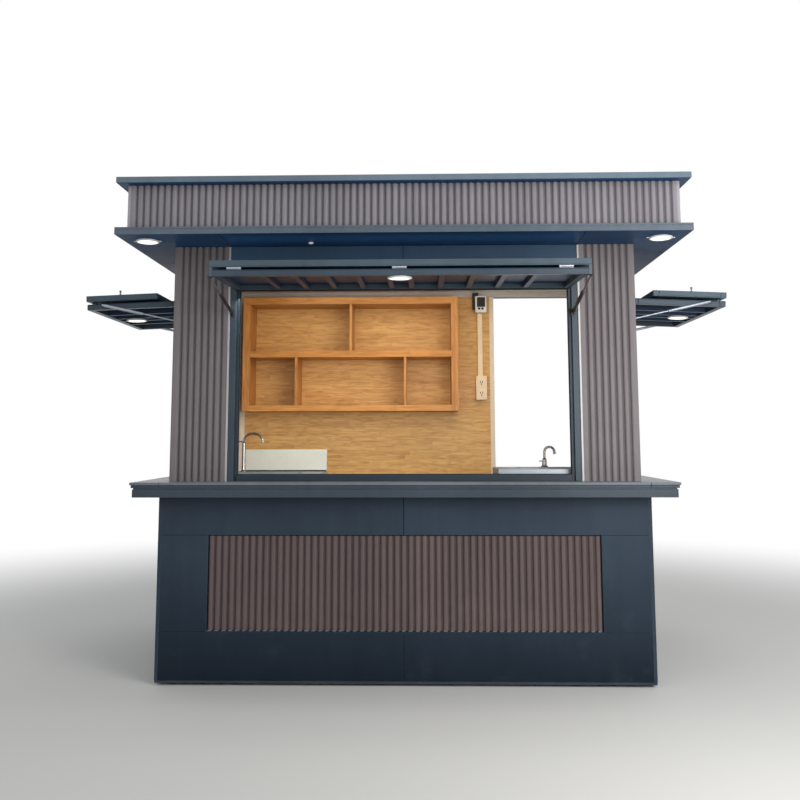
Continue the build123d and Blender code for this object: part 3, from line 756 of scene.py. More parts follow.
BOARD_DEPTH = 16
for side in ("left", "right"):
    # A core notched for the window frame, sheets in front and above, flutes behind
    place = WALLS[side]
    _, (start, end), (_, top) = span(f"{side}_window_frame")
    near, far = inset((FRONT_Y, BACK_Y), UPPER_DEPTH)
    lined = (SIDE_INNER, SIDE_INNER + SHEET)
    body = (lined[1], UPPER_HALF - SHEET)
    core, lining, board, trim = (Shape() for _ in range(4))
    core.block((near, start), body, (BASE_TOP, SOFFIT_Z), place)
    core.block(inset((start, end), 0.2), body, (top, SOFFIT_Z), place)
    core.block((end, far), (lined[1], UPPER_HALF - BOARD_DEPTH), (BASE_TOP, SOFFIT_Z), place)
    sheets(core, place, UPPER_HALF, [((near, start), UPPER_Z), ((start, end), (top, SOFFIT_Z))])
    add_piece(f"{side}_wall_cladding", core, PANEL_UPPER, [f"{side}_wall"], 0.8)
    for us, low in (((near, start - 0.2), BASE_TOP), ((start, end), top), ((end + 0.2, far), BASE_TOP)):
        lining.block(us, lined, (low, SOFFIT_Z), place)
    add_piece(f"{side}_wall_lining", lining, CEILING)
    flutes(board, place, (end + 1, far), (UPPER_HALF - BOARD_DEPTH, UPPER_HALF), UPPER_Z, (42, 29))
    add_piece(f"{side}_wall_flutes", board, WALL_FLUTES_SHEEN)
    edge_trim(trim, side, end, 1, UPPER_HALF)
    add_piece(f"{side}_wall_trim", trim, ALUMINIUM, [], 0.5)

front_lining = Shape()
lining_y = (FRONT_Y + UPPER_DEPTH + 0.2, FRONT_Y + UPPER_DEPTH + SHEET)
lining_top = SOFFIT_Z - 4.5
for sign in (-1, 1):
    beside = sorted((sign * CORNER_INNER, sign * (SIDE_INNER - 0.5)))
    front_lining.block(beside, lining_y, (COUNTER_TOP + 0.5, lining_top))
front_lining.block(inset((-CORNER_INNER, CORNER_INNER), 1), lining_y, (FRONT_OPENING_TOP + 2, lining_top))
add_piece("front_wall_lining", front_lining, CEILING, [], 0.4)

WALL_SEAM = -155
clad("back_wall_cladding", "back", (-CORNER_INNER, WALL_SEAM, DOOR_LEFT), UPPER_Z, PANEL_UPPER, ["back_wall"])
fluted_wall("back_left_flutes", "back", (-UPPER_HALF, -CORNER_INNER - 1), (43, 42))
back_trim = Shape()
edge_trim(back_trim, "back", -CORNER_INNER, -1, BACK_Y)
add_piece("back_wall_trim", back_trim, ALUMINIUM, [], 0.5)
for z in spread(COUNTER_TOP + 40, 2140, 270):
    screw("back", -CORNER_INNER - 6, BACK_Y + 2, z)
    for u in (DOOR_LEFT - SCREW_INSET, DOOR_RIGHT + SCREW_INSET, UPPER_HALF - SCREW_INSET):
        screw("back", u, BACK_Y, z)
clad("back_post_cladding", "back", (DOOR_RIGHT, UPPER_HALF), UPPER_Z, PANEL_UPPER, ["back_wall_post"])
over_door = (DOOR_TOP, SOFFIT_Z)
clad("door_header_cladding", "back", (DOOR_LEFT, DOOR_RIGHT), over_door, PANEL_UPPER, ["door_header"])

rails = Shape()
rail_z = (BASE_TOP, COUNTER_TOP)
for us in ((-UPPER_HALF, DOOR_LEFT - 0.5), (DOOR_RIGHT + 0.5, UPPER_HALF)):
    rails.block(us, (BACK_Y - UPPER_DEPTH + 0.5, BACK_Y - 1), rail_z, WALLS["back"])
side_outs = (UPPER_HALF - BOARD_DEPTH + 0.5, UPPER_HALF - 1)
for side in ("left", "right"):
    rails.block((SIDE_FRAME_END + 0.5, BACK_Y - UPPER_DEPTH), side_outs, rail_z, WALLS[side])
add_piece("base_top_rails", rails, FRAME, [], 1.2)
add_piece("joint_sealant", sealant, SEALANT)
for u in spread(-UPPER_HALF + 30, DOOR_LEFT - 30, 300):
    screw("back", u, BACK_Y - 1, sum(rail_z) / 2)
add_piece("panel_screws", screws, CAP)


# Window frames: box tubes with fine joints, stops behind them, and a rubber seal around the opening

FRAME_DEPTH = 55
FRAME_HEAD = 30
SILL_TOP = COUNTER_TOP + 33
STOP_WIDTH = 15
STOP_SETBACK = 13
for side in ("front", "left", "right"):
    place = WALLS[side]
    fx, fy, fz = span(f"{side}_window_frame")
    us, outer, width = (fx, -FRONT_Y, 47) if side == "front" else (fy, UPPER_HALF, 54)
    outs = (outer - FRAME_DEPTH, outer)
    tube_width = width - STOP_WIDTH
    tubes, sill, stops, rubber = (Shape() for _ in range(4))
    for near, far in ((us[0], 1), (us[1], -1)):
        tubes.block(sorted((near, near + far * tube_width)), outs, fz, place)
        stop_us = sorted((near + far * tube_width, near + far * width))
        stops.block(stop_us, (outs[0], outer - STOP_SETBACK), fz, place)
    opening = (inset(us, width), (SILL_TOP, fz[1] - FRAME_HEAD))
    between = inset(opening[0], 0.5)
    tubes.block(between, outs, (opening[1][1], fz[1]), place)
    sill.block(between, outs, (fz[0], opening[1][0]), place)
    rubber.ring(opening, shrunk(opening, 2.5), (outer - 30, outer - 20), place)
    add_piece(f"{side}_frame_tubes", tubes, FRAME, [f"{side}_window_frame"], 2.0, 3)
    # The sill, the frame's bottom tube, takes the darker stop slate: painted shade
    add_piece(f"{side}_frame_sill_shaded", sill, FRAME_STOP, [], 2.0, 3)
    add_piece(f"{side}_frame_stops", stops, FRAME_STOP, [], 1.5)
    add_piece(f"{side}_frame_seal", rubber, RUBBER, [], 1.2)


# Flaps

class Flap:
    """The open flap of one window. Its own x runs along the hinge, y inwards and z up."""

    TILT = math.radians(2.3)
    PIVOT_RISE = 12
    PIVOT_RADIUS = 6
    OVERLAP = 20
    LAP = 15
    THICKNESS = 30
    GAP = 13
    SKIN = 4
    RAIL = 30
    RIB = 25
    RIB_PITCH = 143
    FIRST_RIB = 50

    def __init__(self, side, middle, face, top, opening, inner, outer):
        self.side = side
        up, self.out = Vector((0, 0, 1)), Vector(WALLS[side](0, 1, 0))
        self.wall_origin = Vector(WALLS[side](middle, face, top))
        self.length = opening + 2 * self.OVERLAP
        self.outer_length = self.length + 2 * self.LAP
        self.inner, self.outer = inner, outer
        self.x_dir = up.cross(self.out)
        self.z_dir = up * math.cos(self.TILT) + self.out * math.sin(self.TILT)
        self.y_dir = self.z_dir.cross(self.x_dir)
        self.pivot = self.wall_origin + up * self.PIVOT_RISE + self.out * self.PIVOT_RADIUS
        self.end = -self.PIVOT_RADIUS - inner

    def place(self, x, y, z):
        return self.pivot + self.x_dir * x + self.y_dir * y + self.z_dir * z

    def wall(self, x, y, z):
        return self.wall_origin + self.x_dir * x + Vector((0, 0, 1)) * y + self.out * z

    def ribs(self, length):
        """The ribs' middles: a narrow bay for the lamp, then equal bays."""
        room = length / 2 - self.RAIL - self.RIB
        count = int((room - self.FIRST_RIB) // self.RIB_PITCH) + 1
        half = [self.FIRST_RIB + self.RIB_PITCH * rib for rib in range(count)]
        if room - half[-1] < self.RIB_PITCH / 2:
            half.pop()
        return [-middle for middle in reversed(half)] + half


flaps = [
    Flap("front", -6, -FRONT_Y, FRONT_OPENING_TOP, 1660, 510, 430),
    Flap("left", SIDE_WINDOW_Y, UPPER_HALF, SIDE_OPENING_TOP, 820, 480, 377),
    Flap("right", SIDE_WINDOW_Y, UPPER_HALF, SIDE_OPENING_TOP, 820, 480, 377),
]


def leaf(flap, name, length, near, width, bottom, sheet_up):
    """A leaf: box-tube rails and ribs with a clad sheet on one face. Near is its end by the wall."""
    half, far, top = length / 2, near - width, bottom + flap.THICKNESS
    low, high = (bottom, top - flap.SKIN) if sheet_up else (bottom + flap.SKIN, top)
    rib_z, skin_z = ((low + 2, high), (high, top)) if sheet_up else ((low, high - 2), (bottom, low))
    # The lower leaf's rails, ribs and sheet take darker copies of the leaf slate: painted shade
    sheet, rail = (LEAF_UNDER_SHADED, LEAF_SHADED) if sheet_up else (LEAF, LEAF)
    tubes, ribs, skin = (Shape() for _ in range(3))
    for ys in ((far, far + flap.RAIL), (near - flap.RAIL, near)):
        tubes.block((-half, half), ys, (low, high), flap.place)
    between = inset((far + flap.RAIL, near - flap.RAIL), 0.5)
    for xs in ((-half, -half + flap.RAIL), (half - flap.RAIL, half)):
        tubes.block(xs, between, (low, high), flap.place)
    for middle in flap.ribs(length):
        ribs.block(around(middle, flap.RIB / 2), between, rib_z, flap.place)
    skin.block(inset((-half, half), 0.8), inset((far, near), 0.8), skin_z, flap.place)
    add_piece(f"{flap.side}_{name}_tubes", tubes, rail, [f"{flap.side}_flap_{name}"], 2.4, 3)
    add_piece(f"{flap.side}_{name}_ribs", ribs, sheet, [], 1.5)
    add_piece(f"{flap.side}_{name}_sheet", skin, sheet, [], 1.0)


def barrel(shape, flap, ends, pin, knuckle, gap, radius, sides, chamfer):
    """A hinge's barrel between two ends along a flap, in knuckles. Pin is its axis in the flap's y and z."""
    places = spread(*ends, knuckle)
    for pair in zip(places, places[1:]):
        shape.rod(*(flap.place(x, *pin) for x in inset(pair, gap)), radius, sides, chamfer)


HINGE_HALF = 33
HINGE_INSET = 98
HINGE_PLATE = 1.6
KNOB_X = 434
KNOB_Y = -308
hinges, pivots, rubber, end_plates, knobs = (Shape() for _ in range(5))
for flap in flaps:
    half, top = flap.length / 2, flap.THICKNESS / 2
    fold = top + flap.GAP
    leaf(flap, "inner_leaf", flap.length, -flap.PIVOT_RADIUS, flap.inner, -top, True)
    leaf(flap, "outer_leaf", flap.outer_length, flap.end + flap.outer, flap.outer, fold, False)
    # Fold hinges between the leaves' outer ends: two plates and a barrel
    for middle in (HINGE_INSET - half, 0, half - HINGE_INSET):
        xs = around(middle, HINGE_HALF)
        for zs in ((top, top + HINGE_PLATE), (fold - HINGE_PLATE, fold)):
            hinges.block(xs, (flap.end + 6, flap.end + 20), zs, flap.place)
        barrel(hinges, flap, xs, (flap.end + 5, fold - 5.4), 13, 0.4, 4.8, 20, 0.6)
    # A long pivot hinge at the wall
    barrel(pivots, flap, (-half, half), (0, 0), 60, 0.6, flap.PIVOT_RADIUS - 0.4, 16, 0.8)
    if flap.side == "front":
        # Plates under the outer leaf's laps, which close the flap's ends
        for sign in (-1, 1):
            xs = sorted((sign * (half + 0.4), sign * flap.outer_length / 2))
            end_plates.block(xs, (flap.end, flap.end + 9), (-top, fold), flap.place)
    else:
        # A latch knob on the outer leaf
        knob_x = KNOB_X if flap.side == "left" else -KNOB_X
        knob_z = fold + flap.THICKNESS
        knobs.turned(flap.place(knob_x, KNOB_Y, knob_z - 1), flap.place(knob_x, KNOB_Y, knob_z + 24), [
            (0, 7), (3.5, 7), (4.5, 3.4), (13, 3.4), (14, 5.2), (22, 5.6), (24, 5), (25, 3.4),
        ], 20)
    # A seal strip under the inner leaf's edge
    strip_y = (-flap.PIVOT_RADIUS - 16, -flap.PIVOT_RADIUS - 8)
    rubber.block(inset((-half, half), 4), strip_y, (-top - 3, -top), flap.place)
add_piece("fold_hinges", hinges, ZINC, ["flap_hinges"], 0.2)
add_piece("pivot_hinges", pivots, LEAF)
add_piece("flap_end_plates", end_plates, LEAF, [], 1.0)
add_piece("flap_seals", rubber, RUBBER, [], 0.8)
add_piece("latch_knobs", knobs, CAP)


# Gas struts

front_tubes, side_tubes, front_rods, side_rods, brackets = (Shape() for _ in range(5))
for flap in flaps:
    front = flap.side == "front"
    foot_y, pin_y, pin_z = (-120, flap.end + 20, -12) if front else (-85, flap.end + 80, 8)
    tubes, rods = (front_tubes, front_rods) if front else (side_tubes, side_rods)
    wide = 9 if front else 7.6
    for sign in (-1, 1):
        leaf_x = sign * flap.length / 2
        strut_x = sign * (flap.length / 2 + 16)
        foot, head = flap.wall(strut_x, foot_y, 7), flap.place(strut_x, pin_y, pin_z)
        thick, thin = (foot, head) if front else (head, foot)
        along = (thin - thick).normalized()
        length = (thin - thick).length
        body = length * 0.55
        rest = length - body
        tubes.turned(thick, thin, [
            (0, 4), (1, 5.5), (14, 5.5), (18, wide - 0.8), (20, wide),
            (body - 4, wide), (body - 2, wide - 0.8), (body - 1, 6), (body, 5.2),
        ], 24)
        rods.turned(thick + along * (body - 1), thin, [(0, 4), (rest - 12, 4), (rest - 11, 4)], 16)
        tubes.turned(thin - along * 18, thin, [(0, 4.6), (1, 5.6), (15, 5.6), (18, 4.2)], 16)
        pin_end = flap.place(sign * (flap.length / 2 + 25), pin_y, pin_z)
        brackets.turned(flap.place(leaf_x, pin_y, pin_z), pin_end, [
            (0, 7), (2, 7), (2.6, 4.2), (9, 4.2), (9.4, 5), (23.5, 5), (25, 3.6),
        ], 20)
        # Wall bracket: a plate with two bolts and a lug
        brackets.block(around(strut_x, 12), around(foot_y, 20), (0, 3), flap.wall)
        for lug_x in around(strut_x, 5):
            brackets.block(around(lug_x, 2), around(foot_y, 10), (2.9, 13.5), flap.wall)
        for bolt_y in around(foot_y, 14):
            bolt = [flap.wall(strut_x, bolt_y, out) for out in (2.9, 8)]
            brackets.turned(*bolt, [(0, 4.4), (1.4, 4.4), (2.6, 3.4), (3.1, 2.0)], 12)
add_piece("front_strut_tubes", front_tubes, STRUT_BLACK, ["gas_struts"])
add_piece("side_strut_tubes", side_tubes, STRUT_SILVER)
add_piece("front_strut_rods", front_rods, STRUT_ROD)
add_piece("side_strut_rods", side_rods, STRUT_SILVER)
add_piece("strut_brackets", brackets, STRUT_BLACK, [], 0.6)


# Lamps

LAMP_X = 1272
LAMP_Y = -899
LAMP_SIDES = 56
# The rim's section: its radius, and the depth below the face that it hangs from
LAMP_RIM = (
    (57, 0), (57, 3.2), (56.2, 5.6), (54.4, 7.2), (52, 8), (49.5, 7.6), (48, 6.2), (47.6, 4), (47.6, 0),
)
lamp_rings, lamp_faces, lamp_clips = (Shape() for _ in range(3))


def lamp(centre, down):
    """A round surface lamp: a rolled white rim and a shallow opal dome."""
    centre, down = Vector(centre), Vector(down)
    first = down.orthogonal().normalized()
    second = down.cross(first)
    rims = [circle(centre + down * depth, radius, first, second, LAMP_SIDES) for radius, depth in LAMP_RIM]
    lamp_rings.solid(list(zip(*rims)), loop=True)
    lamp_faces.turned(centre + down * 1, centre + down * 8, [
        (0, 47.9), (3.4, 47.9), (4.5, 46.5), (5.6, 38), (6.3, 26), (6.7, 12), (6.8, 3),
    ], LAMP_SIDES)


for flap in flaps:
    from_end = 70 if flap.side == "front" else 125
    lamp(flap.place(0, flap.end + from_end, -flap.THICKNESS / 2), -flap.z_dir)
for x in (-LAMP_X, LAMP_X):
    lamp((x, LAMP_Y, SOFFIT_Z), (0, 0, -1))
    for sign in (-1, 1):
        clip_x = sorted((x + sign * 55, x + sign * 69))
        lamp_clips.block(clip_x, around(LAMP_Y, 7), (SOFFIT_Z - 3.2, SOFFIT_Z))
lamp_clips.turned((-462, -841, SOFFIT_Z), (-462, -841, SOFFIT_Z - 9), [(0, 13), (4, 13), (7, 11), (9, 6)], 28)
add_piece("lamp_rims", lamp_rings, WHITE, ["round_lamps"])
add_piece("lamp_clips", lamp_clips, WHITE, [], 0.8)
add_piece("lamp_faces", lamp_faces, LAMP_FACE)


# Roof

def mitred(shape, outer, inner, zs):
    """Four strips around a rectangle, with fine mitre joints. Outer and inner are x and y spans."""
    outside, inside = corners(*outer), corners(*inner)
    for here, (along_x, along_y) in enumerate(((1, 0), (0, 1), (-1, 0), (0, -1))):
        after = (here + 1) % 4
        ends = ((outside[here], 1), (outside[after], -1), (inside[after], -1), (inside[here], 1))
        shape.prism([
            (x + sign * MITRE_GAP * along_x, y + sign * MITRE_GAP * along_y) for (x, y), sign in ends
        ], zs)


*soffit, sz = span("soffit_board")
inner = shrunk(soffit, 5)
groove = (sz[1] - 11.5, sz[1] - 9.5)
edge, boards, ceiling = (Shape() for _ in range(3))
mitred(edge, soffit, inner, (sz[0], groove[0]))
mitred(edge, soffit, inner, (groove[1], sz[1]))
mitred(edge, shrunk(soffit, 2.4), inner, inset(groove, -0.2))
mitred(edge, shrunk(inner, 0.2), shrunk(soffit, 60), (sz[1] - 2, sz[1]))
add_piece("soffit_edge_channel", edge, EDGE, ["soffit_board"], 0.9, 3)
boards.block(*shrunk(inner, 0.5), (sz[0] + SHEET, sz[1] - 2.5))
seams_x = (inner[0][0], -CORNER_INNER, CORNER_INNER, inner[0][1])
for pair in zip(seams_x, seams_x[1:]):
    boards.block(*shrunk((pair, inner[1]), SEAM / 2), (sz[0] + 0.2, sz[0] + SHEET + 0.5))
# The soffit sheets' navy is painted blue sky shade
add_piece("soffit_sheets", boards, SOFFIT_SKY_SHADE, [], 0.6)
CEILING_SEAM = 372
ceiling_y = (FRONT_Y + UPPER_DEPTH + 0.5, LINING_Y - SHEET)
for pair in ((-SIDE_INNER, -CEILING_SEAM), (-CEILING_SEAM, CEILING_SEAM), (CEILING_SEAM, SIDE_INNER)):
    ceiling.block(inset(pair, 0.8), ceiling_y, (SOFFIT_Z - 4, SOFFIT_Z))
add_piece("ceiling_sheets", ceiling, CEILING, [], 0.6)

FASCIA_DEPTH = 40
fx, fy, fz = span("roof_fascia")
fascia, fascia_corners = Shape(), Shape()
for side, us, outer, edge_width in (
    ("front", inset(fx, 1.5), -fy[0], 40), ("back", inset(fx, 1.5), fy[1], 40),
    ("left", inset(fy, FASCIA_DEPTH), fx[1], 0.5), ("right", inset(fy, FASCIA_DEPTH), fx[1], 0.5),
):
    flutes(fascia, WALLS[side], us, (outer - FASCIA_DEPTH, outer), fz, (edge_width, edge_width))
add_piece("fascia_flutes", fascia, ROOF_FLUTES_SHEEN, ["roof_fascia"])
for sign in (-1, 1):
    for y, inwards in ((fy[0], 1), (fy[1], -1)):
        corner = (sign * (fx[1] + 0.2), y - inwards * 0.2)
        corner_angle(fascia_corners, corner, (-sign, inwards), 13, 2, inset(fz, 0.5))
add_piece("fascia_corner_strips", fascia_corners, ROOF_TRIM, [], 0.5)

RIM_WIDTH = 120
RIM_SHADE_WIDTH = 90
*rim_spans, rz = span("roof_rim")
rim, rim_under = Shape(), Shape()
mitred(rim, rim_spans, shrunk(rim_spans, RIM_WIDTH), (rz[0] + 3, rz[1]))
add_piece("rim_channel", rim, CAP, ["roof_rim"], 1.8, 3)
# A thin navy sheet under the rim's channel: painted shade under its overhang
mitred(rim_under, shrunk(rim_spans, 4), shrunk(rim_spans, RIM_SHADE_WIDTH), (rz[0], rz[0] + 2.6))
add_piece("rim_underside_shade_sheet", rim_under, SOFFIT_SKY_SHADE, [], 0.6)

# The deck's sheet has trapezoid ribs from front to back, with screws along their crests
DECK_RIBS = 13
DECK_RIB_HEIGHT = 12
DECK_MARGIN = 30
# How far each point of a rib's flank stands from its middle, and below its crest
DECK_FLANK = ((26, 12.4), (24, 11), (15, 1.4), (13, 0))
dx, dy, (deck_bottom, deck_top) = span("roof_deck")
deck, deck_screws = Shape(), Shape()
deck.block(dx, dy, (deck_bottom, deck_top - DECK_RIB_HEIGHT))
step = (dx[1] - dx[0] - 2 * DECK_MARGIN) / DECK_RIBS
for rib in range(DECK_RIBS):
    middle = dx[0] + DECK_MARGIN + step * (rib + 0.5)
    outline = [(middle - half, deck_top - drop) for half, drop in DECK_FLANK]
    outline += [(middle + half, deck_top - drop) for half, drop in reversed(DECK_FLANK)]
    deck.prism(outline, inset(dy, 2), lying)
    for y in spread(*inset(dy, 60), 420):
        deck_screws.turned((middle, y, deck_top - 0.3), (middle, y, deck_top + 5), [
            (0, 8), (1.3, 8), (1.5, 5.4), (4.4, 5.0), (5.0, 4.0),
        ], 12)
add_piece("deck_sheet", deck, DECK, ["roof_deck"])
add_piece("deck_screws", deck_screws, STRUT_ROD)


# Inside: lining, trims, coving, shelf

lining_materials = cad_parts["back_lining"].data.materials
lining_materials.clear()
lining_materials.append(OAK)

edge_strips = Shape()
tx, ty, tz = span("lining_edge_trims")
for xs in ((tx[0], tx[0] + 29), (tx[1] - 29, tx[1])):
    edge_strips.block(xs, (ty[0] + 1.5, ty[1]), tz)
    edge_strips.block(around((xs[0] + xs[1]) / 2, 9), (ty[0], ty[0] + 1.8), tz)
add_piece("lining_edge_strips", edge_strips, CREAM, ["lining_edge_trims"], 0.6)

bx, (face, back), (band_bottom, band_top) = span("ceiling_band")
coving = Shape()
# How far each point stands behind the face, and under the top
steps = ((0, 0), (0, 6), (2.5, 8), (2.5, 15), (0.8, 17), (0.8, 26), (3.2, 28), (3.2, 35), (5, 38))
profile = [(back, band_bottom), (back, band_top)] + [(face + depth, band_top - drop) for depth, drop in steps]
profile.append((face + 6, band_bottom))
coving.solid([[(x, y, z) for y, z in profile] for x in bx])
add_piece("ceiling_coving", coving, COVING, ["ceiling_band"], 0.6)

sx, sy, sz = span("shelf_unit")
across, upright = Shape(), Shape()
inner = inset(sx, 45)
low_row = (sz[0] + 38, sz[0] + 346)
high_row = (sz[0] + 388, sz[1] - 46)
across.block(inner, sy, (sz[0], low_row[0]))
across.block(inner, (sy[0] + 2, sy[1]), (low_row[1], high_row[0]))
across.block(inner, sy, (high_row[1], sz[1]))
upright.block((sx[0], inner[0]), sy, sz)
upright.block((inner[1], sx[1]), sy, sz)
for left, row in ((337, low_row), (1038, low_row), (688, high_row)):
    upright.block((sx[0] + left, sx[0] + left + 17), (sy[0] + 4, sy[1]), row)
add_piece("shelf_boards", across, SHELF_OAK, ["shelf_unit"], 1.2)
add_piece("shelf_uprights", upright, SHELF_OAK_UP, [], 1.2)


# Electrical fittings

(left, right), (front, back), (bottom, top) = span("breaker_box")
breaker, window = Shape(), Shape()
breaker.prism(rounded((left, right), (bottom, top), 6), (0, back - front - 8), facing_front(back))
breaker.prism(rounded(inset((left, right), 3), inset((bottom, top), 3), 5), (0, 6), facing_front(front + 8))
add_piece("breaker_case", breaker, WHITE, ["breaker_box"], 1.2)
pane = rounded((left + 11, right - 9), (bottom + 36, top - 9), 3)
window.prism(pane, (0, 2.6), facing_front(front + 2.6))
window.block((left - 17, left + 2), (back - 34, back - 0.5), (bottom + 24, top - 1))
window.block((left - 17, left + 22), (back - 40, back - 3), (top - 0.5, top + 24))
for switch in (left + 17, left + 39):
    window.block((switch, switch + 16), (front, front + 3), (bottom + 18, bottom + 32))
add_piece("breaker_window", window, DARK_PLASTIC, [], 0.6)

bottom, top = span("socket_and_duct")[2]
socket_z = (bottom, bottom + 159)
socket_x = DOOR_LEFT - 88
box_x, duct_x = around(socket_x, 36), around(DOOR_LEFT - 93, 16)
on_lining = facing_front(LINING_Y)
fittings, holes = Shape(), Shape()
fittings.prism(rounded(box_x, socket_z, 5), (0, 30), on_lining)
fittings.prism(rounded(*shrunk((box_x, socket_z), 1.5), 5), (30.5, 38), on_lining)
fittings.block(duct_x, (LINING_Y - 11, LINING_Y), (socket_z[1], top))
fittings.block(inset(duct_x, -0.1), (LINING_Y - 16, LINING_Y - 11.6), (socket_z[1], top))
for low in (bottom + 16, bottom + 88):
    fittings.prism(rounded(inset(box_x, 12), (low, low + 52), 8), (37.5, 40), on_lining)
    for offset, height in ((-7, 30), (7, 30), (0, 14)):
        holes.block(around(socket_x + offset, 2.6), (LINING_Y - 40.3, LINING_Y - 38), around(low + height, 6))
add_piece("socket_box_and_duct", fittings, IVORY, ["socket_and_duct"], 0.8)
add_piece("socket_slots", holes, DARK_PLASTIC)


# Worktops with a bowl, and their legs

BOWL_LENGTH = 400
BOWL_DEPTH = 180
BOWL_MARGIN = 110
LEG = 40
LEG_OUTER = 1060


def worktop(side, spans, top, bowl_left, outer_leg, free_leg):
    """A folded steel top with a pressed bowl, on four tube legs with feet."""
    y = spans[1]
    floor = top - BOWL_DEPTH
    bowl = ((bowl_left, bowl_left + BOWL_LENGTH), (y[0] + 45, y[0] + 295))
    inside = shrunk(bowl, 4)
    # From the bowl's floor up its inside, over the top, around the rim and down its outside.
    # Each ring has its rectangle, how far in it stands, the radius of its corners and its height
    rings = (
        (inside, 60, 20, floor + 4.5), (inside, 22, 34, floor + 5.5), (inside, 9, 38, floor + 12),
        (inside, 2, 42, floor + 26), (inside, 0, 42, floor + 60), (inside, 0, 42, top - 6),
        (inside, -1.2, 43, top - 2.4), (inside, -4.5, 46, top),
        (spans, 2, 4, top), (spans, 0.6, 4, top - 0.8), (spans, 0, 4, top - 2.4), (spans, 0, 4, top - 30),
        (spans, 2, 3, top - 30), (spans, 2, 3, top - 4),
        (bowl, 0.1, 44, top - 4), (bowl, 0.1, 44, floor + 30), (bowl, 8, 40, floor + 8),
        (bowl, 30, 30, floor),
    )
    sheet, legs, drain = (Shape() for _ in range(3))
    sheet.solid([
        [(u, v, height) for u, v in rounded(*shrunk(outline, amount), radius, 6)]
        for outline, amount, radius, height in rings
    ])
    add_piece(f"{side}_worktop_sheet", sheet, STEEL, [f"{side}_worktop"])
    near, far = (FRONT_Y + BASE_DEPTH, FRONT_Y + BASE_DEPTH + LEG), (y[1] - LEG, y[1])
    brace_z = (240, 265)
    for us in (outer_leg, free_leg):
        for vs in (near, far):
            legs.block(*shrunk((us, vs), 1), (86, top - 4.5))
            foot = (sum(us) / 2, sum(vs) / 2)
            legs.turned((*foot, 80), (*foot, 88), [(0, 18), (1.5, 19), (4, 19), (5.5, 8), (8, 8)], 20)
        legs.block(inset(us, 8), (near[1] - 1, far[0] + 1), brace_z)
    between = (min(outer_leg[1], free_leg[1]) - 1, max(outer_leg[0], free_leg[0]) + 1)
    legs.block(between, inset(far, 8), brace_z)
    add_piece(f"{side}_worktop_legs", legs, STEEL, [], 1.5)
    middle = (sum(bowl[0]) / 2, sum(bowl[1]) / 2)
    drain.turned((*middle, floor + 4), (*middle, floor + 12), [
        (0, 40), (2.4, 40), (3.6, 38), (3.8, 33), (2.8, 31), (2.6, 12), (4.4, 10), (5.2, 6),
    ], 36)
    add_piece(f"{side}_bowl_drain", drain, CHROME)


*left_spans, (_, left_top) = span("left_worktop")
*right_spans, (_, right_top) = span("right_worktop")
left_x, right_x = left_spans[0], right_spans[0]
worktop(
    "left", left_spans, left_top, left_x[1] - BOWL_MARGIN - BOWL_LENGTH,
    (-LEG_OUTER, LEG - LEG_OUTER), (left_x[1] - LEG, left_x[1]),
)
worktop(
    "right", right_spans, right_top, right_x[0] + BOWL_MARGIN,
    (LEG_OUTER - LEG, LEG_OUTER), (right_x[0], right_x[0] + LEG),
)

px, py, pz = span("splash_board")
splash, splash_foot = Shape(), Shape()
splash.prism(rounded(px, (pz[0], pz[1] - 9), 3), py, lying)
add_piece("white_splash_board", splash, SPLASH, ["splash_board"], 1.2)
splash_foot.block(inset(px, 1), (py[0] - 4, py[0] + 1), (pz[0], pz[0] + 7))
add_piece("splash_board_foot", splash_foot, RUBBER, [], 0.8)

TAP_Y = -366
taps = Shape()


def tap(x, top, body, neck, reach, rise, lever_z):
    """A swan-neck tap: a flared foot, a stout body, a bowed spout, an aerator and a lever.

    Body and neck are the heights where the stout part and the upright pipe end."""
    taps.turned((x, TAP_Y, top), (x, TAP_Y, top + body + 6), [
        (0, 20), (2.5, 20), (4, 18.6), (6, 15.6), (10, 13.8), (24, 13), (body - 12, 12.2), (body - 4, 11.8),
        (body - 1, 10.4), (body + 2, 8), (body + 6, 6.6),
    ], 32)
    low = body - 4
    points = [(x, TAP_Y, top + low + (neck - low) * step / 4) for step in range(5)]
    points += [
        (x + reach - reach * math.cos(turn), TAP_Y, top + neck + rise * math.sin(turn))
        for turn in (math.pi * step / 18 for step in range(1, 19))
    ]
    taps.tube(points, 6.8, (0, 1, 0), 20)
    spout = Vector(points[-1])
    taps.turned(spout + Vector((0, 0, 1.5)), spout - Vector((0, 0, 13)), [
        (0, 6.2), (1.5, 8), (11, 8), (12.4, 7), (13, 5.6),
    ], 24)
    hub = Vector((x, TAP_Y, top + lever_z))
    taps.turned(hub, hub + Vector((-30, 0, 2)), [
        (0, 5.4), (8, 5.4), (10, 3.4), (26, 2.8), (29, 2.8), (30, 2.0),
    ], 16)


tap(left_x[0] + 236, left_top, 158, 165, 52, 40, 160)
tap(right_x[0] + 277, right_top, 44, 80, 27, 27, 30)
add_piece("swan_neck_taps", taps, CHROME, ["taps"])


# Floor and skid

